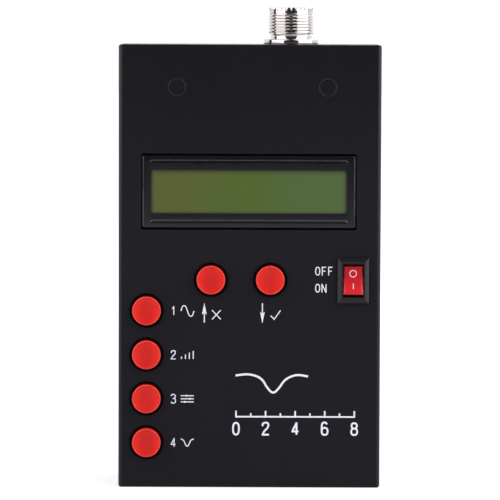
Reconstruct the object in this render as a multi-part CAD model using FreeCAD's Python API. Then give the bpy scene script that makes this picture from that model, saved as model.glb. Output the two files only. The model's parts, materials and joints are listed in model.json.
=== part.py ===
import FreeCAD, Part
import math
import os

# Hand-held antenna analyzer in a folded sheet-metal box, standing on its bottom end.
# Millimetres. X is to the right, -Y is the front, +Z is up; the origin is the middle of the
# bottom end. Each sub-part is a separate solid, or a group of identical ones.

V = FreeCAD.Vector

# ---- box --------------------------------------------------------------------------------
cover_sheet = 1.2
cover_inside_bend = 0.2
cover_corner = 0.8            # rounding of the cover's four front corners
chassis_sheet = 1.0
chassis_inside_bend = 0.5
slip_gap = 0.2                # between the chassis and the walls of the cover
lip_depth = 10.0              # folded lips along both long sides of the chassis

# ---- cover screws, countersunk ----------------------------------------------------------
screw_radius = 1.5            # all screws are M3
countersink_radius = 2.7
cover_screw_length = 5.0
cover_screw_inset = 6.0       # from the back face
cover_screw_end = 22.0        # from either end of the box
recess_width = 0.7            # arms of the cross recess in each screw head
recess_length = 2.8
recess_depth = 0.8

# ---- rubber feet on the back ------------------------------------------------------------
foot_radius = 5.0
foot_height = 2.5
foot_draft = 0.6
foot_edge = 11.0              # from the foot's axis to the edges of the back

# ---- display module ---------------------------------------------------------------------
display_x = -0.3
display_drop = 49.5           # from the top end of the box
display_side_gap = 3.05       # from the display board to the cover's walls, on average
frame_width = 71.85
frame_height = 24.6
frame_depth = 8.0
frame_sheet = 0.5
frame_corner = 0.6
view_side = 3.0               # frame's border beside the view
view_border = 5.0             # and above and below it
view_corner = 1.1
rib_width = 1.3               # pressed ribs above and below the view
rib_height = 0.3
rib_edge = 2.2                # from the frame's edge to the middle of a rib
rib_end = 2.6
window_gap = 0.6              # above and below the frame, in the front panel
window_side_gap = 0.42        # and beside it
window_corner = 0.5
display_recess = 0.5          # frame's face behind the panel's face
glass_thickness = 1.8
glass_gap = 0.1
strip_height = 2.2            # rubber contact strips above and below the backlight
strip_gap = 0.2
strip_edge = 0.8              # from the glass's edge
display_board_width = 80.0
display_board_height = 36.0
display_hole_inset = 2.5      # from both edges of the display board
display_post_radius = 1.25
display_spacer_radius = 2.5
display_screw_head = 2.2
display_screw_head_height = 1.4

# ---- header between the two boards ------------------------------------------------------
pin_count = 16
pin_pitch = 2.54
pin_side = 0.64
pin_stick_out = 1.0
header_height = 2.5
header_width = 2.4
header_inset = 2.5            # from the top edge of the display board

# ---- main board -------------------------------------------------------------------------
board_thickness = 1.6
board_side_gap = 2.05         # to the cover's walls
board_bottom = 3.0
board_top_gap = 10.1          # to the top end of the box
board_parts_height = 55.3     # from the battery to the board's top edge
board_corner = 2.0
board_hole_clearance = 0.15
standoff_left = 16.4          # from the main board's left edge
standoff_right = 14.8         # from its right edge
standoff_end = 14.3           # from either end of the box
standoff_radius = 3.0
standoff_head_radius = 3.175
standoff_head_chamfer = 0.15
standoff_thread_depth = 8.0
board_screw_head = 2.8
board_screw_head_height = 2.0
board_screw_grip = 4.0        # thread inside the standoff

# ---- push buttons -----------------------------------------------------------------------
column_edge = 9.55            # from the left side of the box
column_bottom_z = 15.2
column_pitch = 14.9
column_count = 4
arrow_x = -3.0                # middle of the two arrow buttons
arrow_pitch = 20.0
arrow_drop = 29.7             # below the display's middle
cap_radius = 4.78
cap_draft = 0.2
cap_proud = 3.0               # above the panel's face
cap_rim = 0.4                 # bevelled rim
cap_dish = 0.25
cap_wall = 1.2
cap_top = 2.2
cap_boss_radius = 3.2
cap_hole_gap = 0.72           # between the cap's skirt and the panel's hole
cap_bottom_gap = 0.9          # above the switch's metal cover
switch_side = 11.8
switch_base_height = 3.4
switch_cover_sheet = 0.3
switch_floor = 1.0
well_radius = 3.8
plunger_flange_radius = 3.5
plunger_flange_height = 0.75
plunger_neck_radius = 2.9
plunger_neck_height = 0.6     # above the metal cover
plunger_foot_radius = 1.5
plunger_gap = 0.05            # under the metal cover at rest
cover_hole_gap = 0.2
post_side = 3.8
post_height = 5.2
post_gap = 0.3                # over the post's end, inside the cap
dome_radius = 3.3
dome_height = 0.9
dome_gap = 0.02               # under the plunger's foot
dome_sheet = 0.12

# ---- rocker switch ----------------------------------------------------------------------
rocker_edge = 9.25            # from the right side of the box
rocker_drop = 29.8            # below the display's middle
housing_width = 8.5
housing_height = 13.2
housing_depth = 11.5
housing_floor = 1.0
housing_side_wall = 0.75
housing_end_wall = 1.0
bezel_side_lap = 1.05         # over the panel, beyond the housing
bezel_end_lap = 1.0
bezel_proud = 2.0
bezel_bevel = 1.25
bezel_bevel_drop = 0.9
cutout_gap = 0.1
latch_height = 0.6
latch_length = 2.4
rocker_side_gap = 0.15
rocker_end_gap = 0.15         # with that end pressed in
rocker_proud = 0.3            # ends above the bezel's face, with the rocker level
rocker_hollow = 0.6           # depth of the hollow face
rocker_keel = 3.5             # half the length of its flat underside
rocker_end_taper = 0.5
rocker_end_round = 0.8
rocker_tilt = 9.0             # degrees each way from level
pivot_height = 0.5            # pivot in front of the panel's face
trunnion_radius = 0.75
trunnion_length = 0.55
trunnion_clearance = 0.05
stem_radius = 1.2
stem_length = 5.0             # from the pivot to the stem's round tip
contact_gap = 0.2             # between the stem's tip and the tilting contact, level
contact_length = 8.0
contact_width = 3.0
contact_sheet = 0.5
contact_tilt = 8.0            # degrees each way from level
fulcrum_gap = 0.1
terminal_width = 2.8
terminal_sheet = 0.8
terminal_length = 9.0         # behind the housing

# ---- antenna socket ---------------------------------------------------------------------
socket_x = 13.9
socket_y = 0.0
flange_radius = 9.3
flange_height = 1.75
neck_radius = 7.0
neck_height = 1.75
thread_radius = 7.94          # 5/8 inch
thread_pitch = 25.4 / 24
thread_depth = 0.65
thread_height = 7.1
crest_width = 0.25
root_width = 0.2
crown_radius = 7.4
crown_height = 1.9
crown_teeth = 28
notch_share = 0.56            # of a tooth's pitch, cut away at the mouth
tooth_depth = 1.3
mouth_radius = 6.0
mouth_depth = 5.5
insulator_radius = 5.2
barrel_radius = 7.5           # behind the end plate
barrel_length = 8.0
barrel_hole_gap = 0.1
contact_radius = 2.8
contact_bore_radius = 2.0
contact_bore_depth = 12.0
contact_slot = 0.5
contact_slot_depth = 4.0
cup_radius = 1.6
cup_length = 6.0
washer_radius = 9.6
washer_sheet = 0.8
lug_sheet = 0.5
lug_radius = 9.6
lug_width = 5.0
lug_reach = 17.0
nut_flats = 19.0
nut_height = 3.2
signal_wire_radius = 0.7
signal_wire_drop = 6.0

# ---- battery ----------------------------------------------------------------------------
cell_count = 3
cell_radius = 9.2
cell_length = 65.2
cell_pitch = 18.8
cell_bottom = 19.0
cell_round = 0.8
cell_front_gap = 3.9          # behind the main board
cell_back_gap = 0.5
strap_sheet = 0.8
strap_width = 14.0
strap_gap = 0.2
strap_foot = 7.0
lead_radius = 1.3
lead_rise = 6.0               # above the cells, before it turns to the board

# ---- sockets in the bottom end ----------------------------------------------------------
jack_right = 25.0             # from the main board's right edge
jack_width = 9.0
jack_height = 11.0
jack_length = 13.5
jack_nose_radius = 4.0
jack_bore_radius = 2.8
jack_bore_depth = 9.5
jack_pin_radius = 1.05
jack_pin_setback = 1.5
usb_left = 23.0               # from the main board's left edge
usb_width = 7.7
usb_height = 3.95
usb_length = 9.2
usb_sheet = 0.35
usb_chamfer = 1.1
usb_tongue_width = 4.6
usb_tongue_height = 1.0
usb_tongue_length = 6.0
usb_back = 1.5                # plastic block behind the tongue
port_gap = 0.2                # round both sockets, in the end plate

# ---- parts on the back of the main board ------------------------------------------------
# Each is: in from the board's left edge, down from its top edge, width, height, depth.
controller_chip = (23.0, 33.5, 7.5, 18.0, 2.4)
synthesizer_chip = (23.0, 13.5, 10.2, 5.4, 1.8)
regulator_chip = (7.0, 12.5, 6.6, 6.2, 2.3)
shield_can = (57.0, 31.5, 28.0, 26.0, 4.5)
shield_sheet = 0.4
capacitor_radius = 3.15
capacitor_height = 7.7
capacitor_round = 0.6
capacitor_left = 7.0
capacitor_drop = 25.5         # the first one, below the board's top edge
capacitor_pitch = 10.0
capacitor_count = 3

# ---- planes and places worked out from the sizes above ----------------------------------
case_width = display_board_width + 2 * (display_side_gap + cover_sheet)
case_height = cell_bottom + cell_length + board_parts_height + board_top_gap
case_depth = (display_recess + frame_depth + header_height + 2 * board_thickness
              + cell_front_gap + 2 * cell_radius + cell_back_gap + chassis_sheet)

front_y = -case_depth / 2
panel_back_y = front_y + cover_sheet
back_y = case_depth / 2
chassis_inner_y = back_y - chassis_sheet
wall_x = case_width / 2
wall_inner_x = wall_x - cover_sheet
chassis_half = wall_inner_x - slip_gap
end_inner_z = case_height - chassis_sheet

display_z = case_height - display_drop
frame_front_y = front_y + display_recess
display_board_y = frame_front_y + frame_depth
display_board_back_y = display_board_y + board_thickness
glass_front_y = frame_front_y + frame_sheet
glass_back_y = glass_front_y + glass_thickness
glass_width = frame_width - 2 * (frame_sheet + glass_gap)
glass_height = frame_height - 2 * (frame_sheet + glass_gap)
backlight_height = glass_height - 2 * (strip_edge + strip_height + strip_gap)
board_y = display_board_back_y + header_height
board_back_y = board_y + board_thickness
board_width = 2 * (wall_inner_x - board_side_gap)
board_top = case_height - board_top_gap
board_left = -board_width / 2
header_z = display_z + display_board_height / 2 - header_inset

switch_top_y = board_y - switch_base_height
switch_cover_y = switch_top_y - switch_cover_sheet
cap_front_y = front_y - cap_proud
cap_skirt_radius = cap_radius + cap_draft
button_hole_radius = cap_skirt_radius + cap_hole_gap
post_end_y = switch_cover_y - plunger_neck_height - post_height

rocker_x = wall_x - rocker_edge
rocker_z = display_z - rocker_drop
bezel_width = housing_width + 2 * bezel_side_lap
bezel_height = housing_height + 2 * bezel_end_lap
window_width = housing_width - 2 * housing_side_wall
window_height = housing_height - 2 * housing_end_wall
rocker_width = window_width - 2 * rocker_side_gap
rocker_face = bezel_proud - pivot_height + rocker_proud
rocker_sweep = rocker_face * math.sin(math.radians(rocker_tilt))
rocker_half_height = ((window_height / 2 - rocker_end_gap - rocker_sweep)
                      / math.cos(math.radians(rocker_tilt)))
rocker_foot = rocker_half_height - rocker_end_taper
pivot_y = front_y - pivot_height
housing_back_y = front_y + housing_depth
contact_y = pivot_y + stem_length + contact_gap
socket_mouth_z = case_height + flange_height + neck_height + thread_height + crown_height
insulator_face_z = socket_mouth_z - mouth_depth
barrel_end_z = case_height - barrel_length
cup_end_z = barrel_end_z - cup_length
cell_y = chassis_inner_y - cell_back_gap - cell_radius
jack_x = board_width / 2 - jack_right
jack_y = board_back_y + jack_height / 2
usb_x = board_left + usb_left

arrow_z = display_z - arrow_drop
button_places = {"arrow_up": (arrow_x - arrow_pitch / 2, arrow_z),
                 "arrow_down": (arrow_x + arrow_pitch / 2, arrow_z)}
for number in range(column_count):
    key_z = column_bottom_z + (column_count - 1 - number) * column_pitch
    button_places[f"key_{number + 1}"] = (column_edge - wall_x, key_z)


# ---- helpers ----------------------------------------------------------------------------
def box(x, y, z):
    """A block between two values on each axis."""
    return Part.makeBox(x[1] - x[0], y[1] - y[0], z[1] - z[0], V(x[0], y[0], z[0]))


def around(middle, size):
    """The two values half a size either side of a middle."""
    return (middle - size / 2, middle + size / 2)


def rod_x(y, z, radius, x):
    return Part.makeCylinder(radius, x[1] - x[0], V(x[0], y, z), V(1, 0, 0))


def rod_y(x, z, radius, y):
    return Part.makeCylinder(radius, y[1] - y[0], V(x, y[0], z), V(0, 1, 0))


def rod_z(x, y, radius, z):
    return Part.makeCylinder(radius, z[1] - z[0], V(x, y, z[0]), V(0, 0, 1))


def pad(x, z, width, height, corner, y):
    """A block along Y with its four long edges rounded."""
    block = box(around(x, width), y, around(z, height))
    if corner <= 0:
        return block
    edges = [edge for edge in block.Edges if abs(edge.tangentAt(edge.FirstParameter).y) > 0.99]
    return block.makeFillet(corner, edges)


def turned(points, x, z):
    """Turn a closed outline of (radius, y) points about the line along Y through x, z."""
    outline = Part.makePolygon([V(radius, y, 0) for radius, y in points + points[:1]])
    solid = Part.Face(outline).revolve(V(0, 0, 0), V(0, 1, 0), 360)
    solid.translate(V(x, 0, z))
    return solid


def turned_z(points, x, y):
    """Turn a closed outline of (radius, z) points about the line along Z through x, y."""
    outline = Part.makePolygon([V(radius, 0, z) for radius, z in points + points[:1]])
    solid = Part.Face(outline).revolve(V(0, 0, 0), V(0, 0, 1), 360)
    solid.translate(V(x, y, 0))
    return solid


def channel(half_span, floor, rim, sheet, bend, place, along):
    """A sheet folded to a U: its floor at v = floor, its two walls reaching to v = rim."""
    way = 1 if rim > floor else -1
    centre = half_span - bend
    fold = floor + way * bend
    half = math.sqrt(0.5)

    def fold_arc(side, radius):
        return [place(side * (centre + radius), fold),
                place(side * (centre + radius * half), fold - way * radius * half),
                place(side * centre, fold - way * radius)]

    inner = half_span - sheet
    outer_left, outer_right = fold_arc(-1, bend), fold_arc(1, bend)[::-1]
    inner_right, inner_left = fold_arc(1, bend - sheet), fold_arc(-1, bend - sheet)[::-1]
    edges = [
        Part.makeLine(place(-half_span, rim), outer_left[0]), Part.Arc(*outer_left).toShape(),
        Part.makeLine(outer_left[2], outer_right[0]), Part.Arc(*outer_right).toShape(),
        Part.makeLine(outer_right[2], place(half_span, rim)),
        Part.makeLine(place(half_span, rim), place(inner, rim)),
        Part.makeLine(place(inner, rim), inner_right[0]), Part.Arc(*inner_right).toShape(),
        Part.makeLine(inner_right[2], inner_left[0]), Part.Arc(*inner_left).toShape(),
        Part.makeLine(inner_left[2], place(-inner, rim)),
        Part.makeLine(place(-inner, rim), place(-half_span, rim)),
    ]
    return Part.Face(Part.Wire(edges)).extrude(along)


def lead(points, radius):
    """A round lead along straight runs joined by tangent arcs."""
    edges = []
    start = points[0]
    for before, corner, after in zip(points, points[1:], points[2:]):
        into, out_of = (corner - before).normalize(), (after - corner).normalize()
        reach = 0.45 * min((corner - before).Length, (after - corner).Length)
        first, last = corner - into * reach, corner + out_of * reach
        bend = reach / math.tan(into.getAngle(out_of) / 2)
        inward = (out_of - into).normalize()
        centre = corner + inward * math.hypot(reach, bend)
        edges += [Part.makeLine(start, first),
                  Part.Arc(first, centre - inward * bend, last).toShape()]
        start = last
    edges.append(Part.makeLine(start, points[-1]))
    circle = Part.makeCircle(radius, points[0], points[1] - points[0])
    return Part.Wire(edges).makePipeShell([Part.Wire(circle)], True, True)


def joined(shapes):
    first, *rest = shapes
    return (first.fuse(rest) if rest else first).removeSplitter()


def cross_recess(x, y, z, axis):
    """The cross-shaped recess of a screw head, sunk from a point along an axis."""
    deep = (0, recess_depth)
    cross = box(around(0, recess_width), around(0, recess_length), deep).fuse(
        box(around(0, recess_length), around(0, recess_width), deep))
    cross.Placement = FreeCAD.Placement(V(x, y, z), FreeCAD.Rotation(V(0, 0, 1), axis))
    return cross


# ---- box --------------------------------------------------------------------------------
def cover_screw_places():
    y = back_y - cover_screw_inset
    return [(side, y, z) for side in (-1, 1)
            for z in (cover_screw_end, case_height - cover_screw_end)]


def standoff_places():
    return [(x, z) for x in (board_left + standoff_left, board_width / 2 - standoff_right)
            for z in (standoff_end, case_height - standoff_end)]


def countersink(side, y, z):
    """The cone through the cover's wall, wide end outside."""
    return Part.makeCone(countersink_radius, screw_radius, cover_sheet,
                         V(side * wall_x, y, z), V(-side, 0, 0))


def front_cover():
    bend = cover_sheet + cover_inside_bend
    sheet = channel(wall_x, front_y, back_y, cover_sheet, bend,
                    lambda u, v: V(u, v, 0), V(0, 0, case_height))
    outline = pad(0, case_height / 2, case_width, case_height, cover_corner, (front_y, back_y))
    through = (front_y - 1, panel_back_y + 1)
    cuts = [pad(display_x, display_z, frame_width + 2 * window_side_gap,
                frame_height + 2 * window_gap, window_corner, through)]
    cuts.append(pad(rocker_x, rocker_z, housing_width + 2 * cutout_gap,
                    housing_height + 2 * cutout_gap, cutout_gap, through))
    cuts += [rod_y(x, z, button_hole_radius, through) for x, z in button_places.values()]
    cuts += [rod_y(x, z, standoff_head_radius, through) for x, z in standoff_places()]
    cuts += [countersink(*place) for place in cover_screw_places()]
    return sheet.common(outline).cut(cuts)


def rear_chassis():
    bend = chassis_sheet + chassis_inside_bend
    rim = panel_back_y + slip_gap
    narrow = chassis_half - bend
    ends = channel(case_height / 2, back_y, rim, chassis_sheet, bend,
                   lambda u, v: V(-narrow, v, case_height / 2 + u), V(2 * narrow, 0, 0))
    lips = channel(chassis_half, back_y, back_y - lip_depth, chassis_sheet, bend,
                   lambda u, v: V(u, v, bend), V(0, 0, case_height - 2 * bend))
    plates = [box((-chassis_half, chassis_half), (rim, back_y - bend), z)
              for z in ((0, chassis_sheet), (end_inner_z, case_height))]
    tray = joined([ends, lips] + plates)
    cuts = [rod_x(y, z, screw_radius, (-chassis_half - 1, chassis_half + 1))
            for side, y, z in cover_screw_places() if side > 0]
    end_cut = (end_inner_z - 1, case_height + 1)
    cuts.append(rod_z(socket_x, socket_y, barrel_radius + barrel_hole_gap, end_cut))
    cuts.append(rod_z(jack_x, jack_y, jack_nose_radius + port_gap, (-1, chassis_sheet + 1)))
    usb_y = (board_back_y - port_gap, board_back_y + usb_height + port_gap)
    cuts.append(box(around(usb_x, usb_width + 2 * port_gap), usb_y, (-1, chassis_sheet + 1)))
    return tray.cut(cuts)


def cover_screws():
    screws = []
    for side, y, z in cover_screw_places():
        head = countersink(side, y, z)
        shank = Part.makeCylinder(screw_radius, cover_screw_length - cover_sheet,
                                  V(side * wall_inner_x, y, z), V(-side, 0, 0))
        screw = joined([head, shank])
        screws.append(screw.cut(cross_recess(side * wall_x, y, z, V(-side, 0, 0))))
    return screws


def rubber_feet():
    feet = []
    for x in (-wall_x + foot_edge, wall_x - foot_edge):
        for z in (foot_edge, case_height - foot_edge):
            foot = Part.makeCone(foot_radius, foot_radius - foot_draft, foot_height,
                                 V(x, back_y, z), V(0, 1, 0))
            feet.append(foot)
    return feet


# ---- display module ---------------------------------------------------------------------
def display_frame():
    shell = pad(display_x, display_z, frame_width, frame_height, frame_corner,
                (frame_front_y, display_board_y))
    hollow = pad(display_x, display_z, frame_width - 2 * frame_sheet,
                 frame_height - 2 * frame_sheet, 0, (glass_front_y, display_board_y + 1))
    view = pad(display_x, display_z, frame_width - 2 * view_side,
               frame_height - 2 * view_border, view_corner,
               (frame_front_y - 1, glass_front_y + 1))
    ribs = [pad(display_x, display_z + side * (frame_height / 2 - rib_edge),
                frame_width - 2 * rib_end, rib_width, rib_width * 0.49,
                (frame_front_y - rib_height, frame_front_y)) for side in (-1, 1)]
    return joined([shell.cut([hollow, view])] + ribs)


def display_glass():
    return box(around(display_x, glass_width), (glass_front_y, glass_back_y),
               around(display_z, glass_height))


def display_backlight():
    return box(around(display_x, glass_width), (glass_back_y, display_board_y),
               around(display_z, backlight_height))


def contact_strips():
    offset = (backlight_height + strip_height) / 2 + strip_gap
    return [box(around(display_x, glass_width), (glass_back_y, display_board_y),
                around(display_z + side * offset, strip_height)) for side in (-1, 1)]


def display_holes():
    across = display_board_width / 2 - display_hole_inset
    up = display_board_height / 2 - display_hole_inset
    return [(display_x + side * across, display_z + end * up)
            for side in (-1, 1) for end in (-1, 1)]


def pin_places():
    first = display_x - (pin_count - 1) * pin_pitch / 2
    return [first + number * pin_pitch for number in range(pin_count)]


def pins(y):
    return [box(around(x, pin_side), y, around(header_z, pin_side)) for x in pin_places()]


def display_board():
    board = box(around(display_x, display_board_width), (display_board_y, display_board_back_y),
                around(display_z, display_board_height))
    through = (display_board_y - 1, display_board_back_y + 1)
    holes = [rod_y(x, z, display_post_radius, through) for x, z in display_holes()]
    return board.cut(holes + pins(through))


def header_strip():
    strip = box(around(display_x, pin_count * pin_pitch), (display_board_back_y, board_y),
                around(header_z, header_width))
    return strip.cut(pins((display_board_back_y - 1, board_y + 1)))


def display_spacers():
    gap = (display_board_back_y, board_y)
    return [rod_y(x, z, display_spacer_radius, gap).cut(rod_y(x, z, display_post_radius, gap))
            for x, z in display_holes()]


def display_screws():
    screws = []
    for x, z in display_holes():
        head_y = display_board_y - display_screw_head_height
        head = rod_y(x, z, display_screw_head, (head_y, display_board_y))
        shank = rod_y(x, z, display_post_radius, (display_board_y, board_back_y))
        screws.append(joined([head, shank]).cut(cross_recess(x, head_y, z, V(0, 1, 0))))
    return screws


# ---- main board -------------------------------------------------------------------------
def main_board():
    board = pad(0, (board_bottom + board_top) / 2, board_width, board_top - board_bottom,
                board_corner, (board_y, board_back_y))
    through = (board_y - 1, board_back_y + 1)
    hole = screw_radius + board_hole_clearance
    cuts = [rod_y(x, z, hole, through) for x, z in standoff_places()]
    cuts += [rod_y(x, z, display_post_radius, through) for x, z in display_holes()]
    cuts += pins(through)
    notch = (rocker_x - housing_width / 2 - 1, board_width / 2 + 1)
    cuts.append(box(notch, through, around(rocker_z, housing_height + 2)))
    return board.cut(cuts)


def panel_standoffs():
    standoffs = []
    for x, z in standoff_places():
        edge = standoff_head_radius - standoff_head_chamfer
        body = turned([(0, front_y), (edge, front_y),
                       (standoff_head_radius, front_y + standoff_head_chamfer),
                       (standoff_head_radius, panel_back_y), (standoff_radius, panel_back_y),
                       (standoff_radius, board_y), (0, board_y)], x, z)
        hole = rod_y(x, z, screw_radius, (board_y - standoff_thread_depth, board_y))
        standoffs.append(body.cut(hole))
    return standoffs


def board_screws():
    screws = []
    for x, z in standoff_places():
        head_y = board_back_y + board_screw_head_height
        head = rod_y(x, z, board_screw_head, (board_back_y, head_y))
        head = head.makeFillet(board_screw_head_height * 0.4, [head.Edges[0]])
        shank = rod_y(x, z, screw_radius, (board_y - board_screw_grip, board_back_y))
        screws.append(joined([head, shank]).cut(cross_recess(x, head_y, z, V(0, -1, 0))))
    return screws


def on_board(part):
    """A block on the back of the main board, from its place and size."""
    left, drop, width, height, depth = part
    return box(around(board_left + left, width), (board_back_y, board_back_y + depth),
               around(board_top - drop, height))


def shield():
    left, drop, width, height, depth = shield_can
    inside = (left, drop, width - 2 * shield_sheet, height - 2 * shield_sheet,
              depth - shield_sheet)
    return on_board(shield_can).cut(on_board(inside))


def capacitors():
    cans = []
    for number in range(capacitor_count):
        z = board_top - capacitor_drop - number * capacitor_pitch
        can = rod_y(board_left + capacitor_left, z, capacitor_radius,
                    (board_back_y, board_back_y + capacitor_height))
        cans.append(can.makeFillet(capacitor_round, [can.Edges[0]]))
    return cans


# ---- push buttons -----------------------------------------------------------------------
def button_cap(x, z):
    """A hollow cap with a dished face; a boss inside grips the plunger's square post."""
    bottom_y = switch_cover_y - cap_bottom_gap
    under_y = cap_front_y + cap_top
    shoulder_y = switch_cover_y - plunger_neck_height
    face = cap_radius - cap_rim
    half = math.sqrt(0.5)
    middle = V(0, cap_front_y + cap_dish, 0)
    dish = Part.Arc(middle, V(face / 2, cap_front_y + cap_dish * 0.75, 0), V(face, cap_front_y, 0))
    rim = Part.Arc(V(face, cap_front_y, 0),
                   V(face + cap_rim * half, cap_front_y + cap_rim * (1 - half), 0),
                   V(cap_radius, cap_front_y + cap_rim, 0))
    rest = Part.makePolygon([V(cap_radius, cap_front_y + cap_rim, 0),
                             V(cap_skirt_radius, bottom_y, 0),
                             V(cap_skirt_radius - cap_wall, bottom_y, 0),
                             V(cap_skirt_radius - cap_wall, under_y, 0), V(0, under_y, 0), middle])
    outline = Part.Wire([dish.toShape(), rim.toShape()] + rest.Edges)
    shell = Part.Face(outline).revolve(V(0, 0, 0), V(0, 1, 0), 360)
    shell.translate(V(x, 0, z))
    boss = rod_y(x, z, cap_boss_radius, (under_y, shoulder_y))
    socket = box(around(x, post_side), (post_end_y - post_gap, shoulder_y), around(z, post_side))
    return joined([shell, boss]).cut(socket)


def button_plunger(x, z):
    """The switch's moving part: foot on the dome, flange under the cover, neck and post."""
    flange_y = switch_top_y + plunger_gap
    foot_y = flange_y + plunger_flange_height
    neck_y = switch_cover_y - plunger_neck_height
    dome_y = board_y - switch_floor - dome_height - dome_gap
    body = turned([(0, neck_y), (plunger_neck_radius, neck_y), (plunger_neck_radius, flange_y),
                   (plunger_flange_radius, flange_y), (plunger_flange_radius, foot_y),
                   (plunger_foot_radius, foot_y), (plunger_foot_radius, dome_y), (0, dome_y)], x, z)
    post = box(around(x, post_side), (post_end_y, neck_y), around(z, post_side))
    return joined([body, post])


def switch_base(x, z):
    block = box(around(x, switch_side), (switch_top_y, board_y), around(z, switch_side))
    return block.cut(rod_y(x, z, well_radius, (switch_top_y - 1, board_y - switch_floor)))


def switch_covers():
    plate_y = (switch_cover_y, switch_top_y)
    return [box(around(x, switch_side), plate_y, around(z, switch_side)).cut(
                rod_y(x, z, plunger_neck_radius + cover_hole_gap, plate_y))
            for x, z in button_places.values()]


def switch_domes():
    floor_y = board_y - switch_floor
    sphere = (dome_radius ** 2 + dome_height ** 2) / (2 * dome_height)
    domes = []
    for x, z in button_places.values():
        centre = V(x, floor_y - dome_height + sphere, z)
        shell = Part.makeSphere(sphere, centre).cut(Part.makeSphere(sphere - dome_sheet, centre))
        domes.append(shell.common(rod_y(x, z, dome_radius + 1, (floor_y - dome_height - 1, floor_y))))
    return domes


# ---- rocker switch ----------------------------------------------------------------------
def tilted(shape, degrees, y):
    """Turn a shape about the line along X at this depth, in the middle of the switch."""
    shape.rotate(V(rocker_x, y, rocker_z), V(1, 0, 0), degrees)
    return shape


def switch_housing():
    def outline(width, height, y):
        x, z = around(rocker_x, width), around(rocker_z, height)
        corners = [V(x[0], y, z[0]), V(x[1], y, z[0]), V(x[1], y, z[1]), V(x[0], y, z[1])]
        return Part.makePolygon(corners + corners[:1])

    bezel_y = front_y - bezel_proud
    bevel_y = bezel_y + bezel_bevel_drop
    frame = Part.makeLoft([outline(bezel_width, bezel_height, bevel_y),
                           outline(bezel_width - 2 * bezel_bevel, bezel_height - 2 * bezel_bevel,
                                   bezel_y)], True)
    flange = box(around(rocker_x, bezel_width), (bevel_y, front_y), around(rocker_z, bezel_height))
    body = box(around(rocker_x, housing_width), (front_y, housing_back_y),
               around(rocker_z, housing_height))
    latches = []
    for side in (-1, 1):
        end = rocker_z + side * housing_height / 2
        corners = [V(rocker_x - housing_width / 4, panel_back_y, end),
                   V(rocker_x - housing_width / 4, panel_back_y, end + side * latch_height),
                   V(rocker_x - housing_width / 4, panel_back_y + latch_length, end)]
        wedge = Part.Face(Part.makePolygon(corners + corners[:1]))
        latches.append(wedge.extrude(V(housing_width / 2, 0, 0)))
    solid = joined([frame, flange, body] + latches)
    cuts = [box(around(rocker_x, window_width), (bezel_y - 1, housing_back_y - housing_floor),
                around(rocker_z, window_height))]
    cuts.append(rod_x(pivot_y, rocker_z, trunnion_radius + trunnion_clearance,
                      around(rocker_x, rocker_width + 2 * trunnion_length + 2 * cutout_gap)))
    cuts += switch_terminals()
    return solid.cut(cuts)


def rocker():
    """The rocker, drawn level and then tilted with its upper end pressed in."""
    def point(height, out):
        return V(rocker_x - rocker_width / 2, pivot_y - out, rocker_z + height)

    face = Part.Arc(point(-rocker_half_height, rocker_face), point(0, rocker_face - rocker_hollow),
                    point(rocker_half_height, rocker_face)).toShape()
    under = Part.makePolygon([point(rocker_half_height, rocker_face), point(rocker_foot, 0),
                              point(rocker_keel, -stem_radius), point(-rocker_keel, -stem_radius),
                              point(-rocker_foot, 0), point(-rocker_half_height, rocker_face)])
    block = Part.Face(Part.Wire([face] + under.Edges)).extrude(V(rocker_width, 0, 0))
    tips = [edge for edge in block.Edges if len(edge.Vertexes) == 2
            and all(abs(abs(v.Z - rocker_z) - rocker_half_height) < 0.01 for v in edge.Vertexes)
            and edge.Length > rocker_width * 0.9]
    block = block.makeFillet(rocker_end_round, tips)
    trunnions = rod_x(pivot_y, rocker_z, trunnion_radius,
                      around(rocker_x, rocker_width + 2 * trunnion_length))
    tip_y = pivot_y + stem_length - stem_radius
    stem = rod_y(rocker_x, rocker_z, stem_radius, (pivot_y, tip_y))
    tip = Part.makeSphere(stem_radius, V(rocker_x, tip_y, rocker_z))
    return tilted(joined([block, trunnions, stem, tip]), -rocker_tilt, pivot_y)


def tilting_contact():
    plate = box(around(rocker_x, contact_width), (contact_y, contact_y + contact_sheet),
                around(rocker_z, contact_length))
    return tilted(plate, contact_tilt, contact_y + contact_sheet / 2)


def switch_terminals():
    """The middle terminal carries the tilting contact; the upper one meets its end."""
    far_y = housing_back_y + terminal_length
    reach = (contact_length / 2) * math.sin(math.radians(contact_tilt))
    under_y = contact_y + contact_sheet + fulcrum_gap
    upper_z = rocker_z + (contact_length - terminal_sheet) / 2
    return [box(around(rocker_x, terminal_width), (near_y, far_y), around(z, terminal_sheet))
            for z, near_y in ((rocker_z, under_y), (upper_z, under_y + reach))]


# ---- antenna socket ---------------------------------------------------------------------
def thread_rings(start, height):
    """Outline of the thread, up the outside: pointed rings with a narrow flat crest."""
    count = int(height / thread_pitch)
    spare = (height - count * thread_pitch) / 2
    root = thread_radius - thread_depth
    points = [(root, start)]
    for number in range(count):
        middle = start + spare + (number + 0.5) * thread_pitch
        flank = (thread_pitch - root_width) / 2
        points += [(root, middle - flank), (thread_radius, middle - crest_width / 2),
                   (thread_radius, middle + crest_width / 2), (root, middle + flank)]
    return points + [(root, start + height)]


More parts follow.
